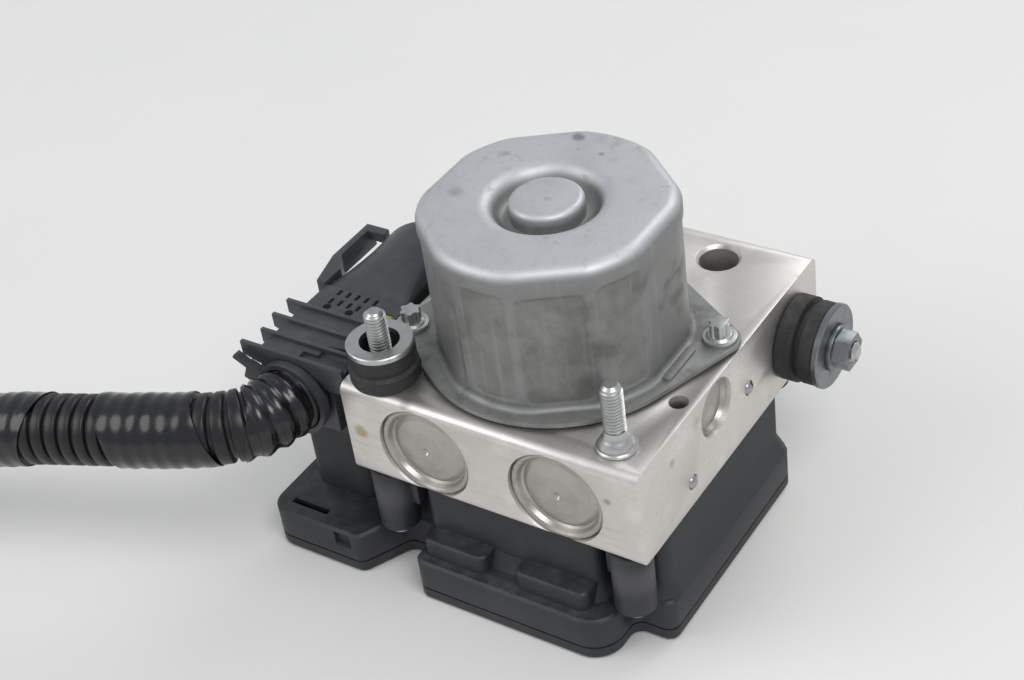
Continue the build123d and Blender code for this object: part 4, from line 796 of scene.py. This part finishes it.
# ---------------------------------------------------------------- sub-assemblies
@dataclass
class ValveBlock:
    """Machined block with its caps, plugs, studs and bushings."""

    shop: Workshop
    thread_pitch: float = 1.0
    stud_radius: float = 3.0
    stud_grip: float = 9.0
    core_gap: float = 0.5
    core_bevel: float = 0.75
    edge: float = 0.28
    nut_edge: float = 0.3

    def build(self) -> None:
        """Make and dress all the pieces of the block."""
        self.block()
        self.caps()
        self.studs()
        self.bushings()
        self.shop.dress(CAP_STEEL, "pump_plug_left", "pump_plug_right")
        self.shop.dress(BRIGHT_STEEL, "ball_plugs")

    def block(self) -> None:
        """The aluminium block, with its machined edges eased."""
        piece = Bench.eased(self.shop.node("hydraulic_block"), "block_machined", self.edge)
        self.shop.fit(piece, BLOCK_METAL, "block_metal", Body.BASE, "hydraulic_block")

    def caps(self) -> None:
        """The two pressed caps of the accumulators."""
        self.shop.dress(CAP_STEEL, "accumulator_cap_left", "accumulator_cap_right")

    def stud(self, name: str, node: str, axis: Axis, shank: float, collar: Profile | None) -> None:
        """One threaded stud.

        Args:
            name: The new piece's name.
            node: The stud's node in the frame.
            axis: Direction in which it stands out.
            shank: Where the visible thread starts, in millimetres from the mounting face.
            collar: Profile of the seat below the thread, if it has one.
        """
        low, high = (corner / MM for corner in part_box(node))
        along = 2 if axis is Axis.UP else 0
        foot, whole = low[along], high[along] - low[along]

        def at(height: float) -> Point:
            """Place on the stud's axis at a height over its foot."""
            place = (low + high) / 2
            place[along] = foot + height
            return tuple(place)

        bare = self.stud_grip + shank
        pieces = [Bench.thread(name, self.stud_radius, self.thread_pitch, whole - bare, at(bare), axis)]
        core = self.stud_radius - self.core_gap
        bevel = self.core_bevel
        profile = [(0, 0), (core, 0), (core, whole - bevel), (core - bevel, whole), (0, whole)]
        pieces.append(Bench.turned(name + "_core", profile, at(0.0), axis, 48))
        if collar:
            pieces.append(Bench.turned(name + "_seat", collar, at(self.stud_grip), axis))
        piece = Bench.joined(name, pieces)
        self.shop.fit(piece, ZINC_STEEL, "zinc_steel", Body.BASE, node)

    def studs(self) -> None:
        """The three mounting studs."""
        collar = [
            (0, 0), (5.1, 0.0), (5.5, 0.35), (5.5, 1.0), (5.15, 1.35), (4.75, 1.4), (4.6, 1.7), (4.55, 2.2),
            (4.3, 3.0), (3.8, 3.7), (3.35, 4.3), (3.1, 5.2), (2.95, 6.2), (0, 6.2),
        ]
        self.stud("front_stud_threaded", "front_stud", Axis.UP, 5.6, collar)
        self.stud("left_stud_threaded", "left_stud", Axis.UP, 0.4, None)
        self.stud("right_stud_threaded", "right_stud", Axis.RIGHT, 0.4, None)

    def bushings(self) -> None:
        """Rubber bushings, their steel rings and the nut."""
        self.shop.dress(RUBBER, "left_bushing", "right_bushing")
        self.shop.dress(ZINC_STEEL, "left_ring")
        self.shop.dress(WASHER_STEEL, "right_washer")
        nut = Bench.eased(self.shop.node("right_nut"), "right_nut_eased", self.nut_edge)
        self.shop.fit(nut, WASHER_STEEL, "zinc_steel", Body.BASE, "right_nut")


@dataclass
class PumpMotor:
    """Motor can, its gasket and screws, and what turns inside."""

    shop: Workshop
    can_edge: float = 0.25
    screw_edge: float = 0.18

    def build(self) -> None:
        """Dress the motor."""
        can = Bench.eased(self.shop.node("motor_can"), "motor_can_pressed", self.can_edge)
        self.shop.fit(can, MOTOR_STEEL, "motor_steel", Body.BASE, "motor_can")
        screws = Bench.eased(self.shop.node("motor_screws"), "motor_screws_eased", self.screw_edge)
        self.shop.fit(screws, ZINC_STEEL, "zinc_steel", Body.BASE, "motor_screws")
        self.shop.dress(RUBBER, "motor_gasket")
        self.shop.dress(BRIGHT_STEEL, "rotor_shaft", "eccentric_bearing", "shaft_bearing")
        self.shop.dress(COPPER, "armature")
        self.shop.dress(BRASS, "commutator", "bearing_bush")
        self.shop.dress(FERRITE, "motor_magnets", "motor_brushes", "brush_plate")


@dataclass
class Controller:
    """Controller housing, cover and what is inside."""

    shop: Workshop
    edge: float = 0.5

    def build(self) -> None:
        """Dress the controller."""
        housing = Bench.eased(self.shop.node("ecu_housing"), "ecu_housing_moulded", self.edge)
        self.shop.fit(housing, ECU_PLASTIC, "ecu_plastic", Body.BASE, "ecu_housing")
        self.shop.dress(ECU_PLASTIC, "ecu_cover")
        self.shop.dress(RUBBER, "cover_seal")
        self.shop.dress(ZINC_STEEL, "ecu_screws", "valve_cartridges")
        self.shop.dress(COPPER, "solenoid_coils")
        self.shop.dress(BOARD, "circuit_board")
        self.shop.dress(BRASS, "connector_pins")


@dataclass
class HarnessPlug:
    """Plug with its ribbed wire cover, seal, lock and lever."""

    shop: Workshop
    edge: float = 0.4

    def build(self) -> None:
        """Dress the plug."""
        for node, body in (("plug_body", Body.BASE), ("wire_cover", Body.BASE), ("lock_lever", Body.LEVER)):
            piece = Bench.eased(self.shop.node(node), node + "_moulded", self.edge)
            self.shop.fit(piece, PLUG_PLASTIC, "plug_plastic", body, node)
        self.shop.dress(OLIVE, "plug_seal", "terminal_lock")


@dataclass(frozen=True)
class Wrap:
    """One stretch of tape: its ends, the slant of its edges and its dip between rings, in millimetres."""

    name: str
    start: float
    end: float
    slant: float
    dip: float = 0.12


@dataclass
class HarnessConduit:
    """Corrugated conduit, part wrapped in tape, with its strap and the cut wires."""

    shop: Workshop
    crest: float = 10.2
    root: float = 8.9
    pitch: float = 4.4
    sides: int = 56
    tape_rise: float = 0.28
    tape_lead: float = 13.0
    tape_step: float = 0.8
    tape_lap: float = 0.24
    tape_crease: float = 0.16
    ring_middle: float = 0.6
    slant_turn: float = 0.8
    wraps: tuple[Wrap, ...] = (
        Wrap("tape_near", 9.0, 23.0, 2.4, 0.55),
        Wrap("tape_middle", 34.0, 63.0, -3.2),
        Wrap("tape_far", 86.0, 152.0, 3.6),
    )
    route: tuple[Point, ...] = (
        (-0.0655, -0.0430, 0.0565),
        (-0.0655, -0.0576, 0.0565),
        (-0.0734, -0.0686, 0.0562),
        (-0.0962, -0.0778, 0.0546),
        (-0.1406, -0.0924, 0.0516),
        (-0.1840, -0.1050, 0.0410),
        (-0.2290, -0.1230, 0.0220),
        (-0.2760, -0.1330, 0.0104),
    )
    length: float = 0.2464
    line: list[Vector] = field(default_factory=list)
    frames: list[tuple[float, Vector, Vector, Vector]] = field(default_factory=list)

    def build(self) -> None:
        """Make the conduit and what is on it."""
        self.line = self.centreline()
        self.frames = self.frames_along()
        tube = self.tube("conduit_corrugated", self.corrugation())
        self.shop.fit(tube, CONDUIT_PLASTIC, "conduit_plastic", Body.BASE, "conduit")
        tapes = [self.tape(wrap) for wrap in self.wraps]
        self.shop.dress(PLUG_PLASTIC, "zip_tie")
        self.shop.dress(RUBBER, "wire_ends")
        self.shop.node("wire_ends")
        self.shop.node("zip_tie")

    def centreline(self) -> list[Vector]:
        """Points of the smooth curve through which the route runs."""
        curve = bpy.data.curves.new("conduit_route", "CURVE")
        curve.dimensions = "3D"
        curve.resolution_u = 24
        spline = curve.splines.new("NURBS")
        spline.points.add(len(self.route) - 1)
        for point, place in zip(spline.points, self.route):
            point.co = (*place, 1.0)
        spline.order_u = 3
        spline.use_endpoint_u = True
        holder = bpy.data.objects.new("conduit_route", curve)
        mesh = bpy.data.meshes.new_from_object(holder)
        line = [vertex.co.copy() for vertex in mesh.vertices]
        bpy.data.objects.remove(holder)
        bpy.data.meshes.remove(mesh)
        bpy.data.curves.remove(curve)
        return line

    def frames_along(self) -> list[tuple[float, Vector, Vector, Vector]]:
        """Distance, centre and the two crosswise directions at each point of the centreline."""
        frames = []
        across = Vector((1, 0, 0))
        along = 0.0
        last = len(self.line) - 1
        for index, centre in enumerate(self.line):
            if index:
                along += (centre - self.line[index - 1]).length
            heading = (self.line[min(index + 1, last)] - self.line[max(index - 1, 0)]).normalized()
            across = (across - heading * across.dot(heading)).normalized()
            frames.append((along, centre, across, heading.cross(across)))
        return frames

    def corrugation(self) -> Profile:
        """Distance along the conduit and radius there, in metres, ring after ring."""
        shape = (
            (0.0, self.root), (0.18, self.root), (0.28, self.crest - 0.16), (0.35, self.crest),
            (0.85, self.crest), (0.92, self.crest - 0.16),
        )
        stations = []
        for ring in range(int(self.frames[-1][0] / (self.pitch * MM))):
            for share, radius in shape:
                stations.append(((ring + share) * self.pitch * MM, radius * MM))
        return stations

    def tape(self, wrap: Wrap) -> bpy.types.Object:
        """One taped stretch, drawn down a little between the rings, with its turns overlapping."""
        count = int((wrap.end - wrap.start) / self.tape_step)
        rise = (self.crest + self.tape_rise) * MM
        stations = [(wrap.start * MM, self.root * MM)]
        stations += [((wrap.start + step * self.tape_step) * MM, rise) for step in range(count + 1)]
        stations.append((stations[-1][0], self.root * MM))
        piece = self.tube(wrap.name, stations, wrap)
        self.shop.fit(piece, TAPE, "conduit_plastic", Body.BASE)
        return piece

    def relief(self, wrap: Wrap, along: float, angle: float) -> float:
        """How far the tape stands off its mean radius at a place, in metres."""
        ring = math.cos(2 * math.pi * (along / (self.pitch * MM) - self.ring_middle))
        ripple = 0.12 - wrap.dip + wrap.dip * ring
        lap = (along / (self.tape_lead * MM) + angle / (2 * math.pi)) % 1.0
        step = self.tape_lap * min(1.0, lap / 0.10) * (1.0 - 0.8 * lap)
        crease = noise.noise(Vector((2.4 * math.cos(angle), 2.4 * math.sin(angle), along / (5.0 * MM))))
        return (ripple + step + self.tape_crease * crease) * MM

    def tube(self, name: str, stations: Profile, wrap: Wrap | None = None) -> bpy.types.Object:
        """Carry a circle of changing radius along the centreline.

        Args:
            name: The piece's name.
            stations: Distance along the centreline and radius, in metres.
            wrap: The taped stretch, if the tube is one; its rings are slanted and get the tape's relief.

        Returns:
            The new object.
        """
        points: list[Vector] = []
        last = len(stations) - 1
        for row, (along, radius) in enumerate(stations):
            for step in range(self.sides):
                angle = 2 * math.pi * step / self.sides
                here, reach = along, radius
                if wrap:
                    here += wrap.slant * MM * math.cos(angle + self.slant_turn)
                    reach += self.relief(wrap, here, angle) if 0 < row < last else 0.0
                found = bisect.bisect(self.frames, here, key=itemgetter(0))
                index = min(max(found, 1), len(self.frames) - 1)
                before, after = self.frames[index - 1], self.frames[index]
                share = (here - before[0]) / (after[0] - before[0])
                centre, across, side = (a.lerp(b, share) for a, b in zip(before[1:], after[1:]))
                points.append(centre + (across * math.cos(angle) + side * math.sin(angle)) * reach)
        faces = []
        rows = len(stations)
        for row in range(rows - 1):
            for step in range(self.sides):
                a = row * self.sides + step
                b = row * self.sides + (step + 1) % self.sides
                faces.append((a, b, b + self.sides, a + self.sides))
        faces.append(tuple(reversed(range(self.sides))))
        faces.append(tuple(range((rows - 1) * self.sides, rows * self.sides)))
        mesh = bpy.data.meshes.new(name)
        mesh.from_pydata([tuple(point) for point in points], [], faces)
        piece = bpy.data.objects.new(name, mesh)
        bpy.context.scene.collection.objects.link(piece)
        Bench.outward(piece)
        Bench.smooth(piece, 50)
        return piece


@dataclass
class HiddenParts:
    """What the block holds inside: pistons, springs and pumps."""

    shop: Workshop

    def build(self) -> None:
        """Dress the hidden pieces."""
        self.shop.dress(BLOCK_METAL, "accumulator_piston_left", "accumulator_piston_right")
        self.shop.dress(BRIGHT_STEEL, "pump_plunger_left", "pump_plunger_right")
        self.shop.dress(
            ZINC_STEEL, "accumulator_spring_left", "accumulator_spring_right",
            "pump_spring_left", "pump_spring_right",
        )


# ---------------------------------------------------------------- studio
@dataclass
class Studio:
    """Pale floor, soft light and the camera."""

    paint: Paint
    camera_place: Point = (0.23785, -0.34313, 0.38305)
    camera_turn: Point = (52.3496, 6.7567, 32.2647)
    lens: float = 66.637
    sky: Colour = (0.93, 0.96, 1.0)
    sky_strength: float = 0.55

    def build(self) -> None:
        """Set up the studio."""
        self.floor()
        self.lights()
        self.camera()

    def floor(self) -> None:
        """A wide pale floor under the part."""
        Bench.clear()
        bpy.ops.mesh.primitive_plane_add(size=6.0, location=(0, 0, -0.00005))
        floor = bpy.context.object
        floor.name = "studio_floor"
        self.paint.lay(floor, FLOOR)

    def lights(self) -> None:
        """A pale sky and three wide soft lamps."""
        world = bpy.data.worlds.new("studio_world")
        bpy.context.scene.world = world
        world.use_nodes = True
        sky = world.node_tree.nodes["Background"]
        sky.inputs["Color"].default_value = (*self.sky, 1.0)
        sky.inputs["Strength"].default_value = self.sky_strength
        for name, place, aim, size, power in (
            ("key_lamp", (0.9, -0.5, 1.5), (0.0, 0.0, 0.05), 0.9, 12.2),
            ("fill_lamp", (-1.0, -1.0, 1.1), (0.0, 0.0, 0.05), 1.2, 8.0),
            ("rim_lamp", (0.2, 1.4, 1.2), (0.0, 0.0, 0.08), 1.0, 7.5),
        ):
            data = bpy.data.lights.new(name, "AREA")
            data.shape = "DISK"
            data.size = size
            data.energy = power
            lamp = bpy.data.objects.new(name, data)
            bpy.context.scene.collection.objects.link(lamp)
            lamp.location = place
            lamp.rotation_euler = (Vector(aim) - Vector(place)).to_track_quat("-Z", "Y").to_euler()

    def camera(self) -> None:
        """The camera, at the viewing angle that shows the front, the right side and the top."""
        data = bpy.data.cameras.new("view_camera")
        data.lens = self.lens
        data.sensor_width = 36.0
        data.clip_start = 0.01
        camera = bpy.data.objects.new("view_camera", data)
        bpy.context.scene.collection.objects.link(camera)
        camera.location = self.camera_place
        camera.rotation_euler = Euler([math.radians(angle) for angle in self.camera_turn], "XYZ")
        bpy.context.scene.camera = camera
        bpy.context.scene.view_settings.view_transform = "Standard"


def main() -> None:
    """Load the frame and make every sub-assembly."""
    logging.basicConfig(level=logging.INFO, format="%(message)s")
    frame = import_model()
    paint = Paint()
    shop = Workshop(frame, paint)
    Studio(paint).build()
    for assembly in (
        HarnessConduit(shop), ValveBlock(shop), PumpMotor(shop), Controller(shop), HarnessPlug(shop),
        HiddenParts(shop),
    ):
        LOG.info("building %s", type(assembly).__name__)
        assembly.build()


if __name__ == "__main__":
    main()
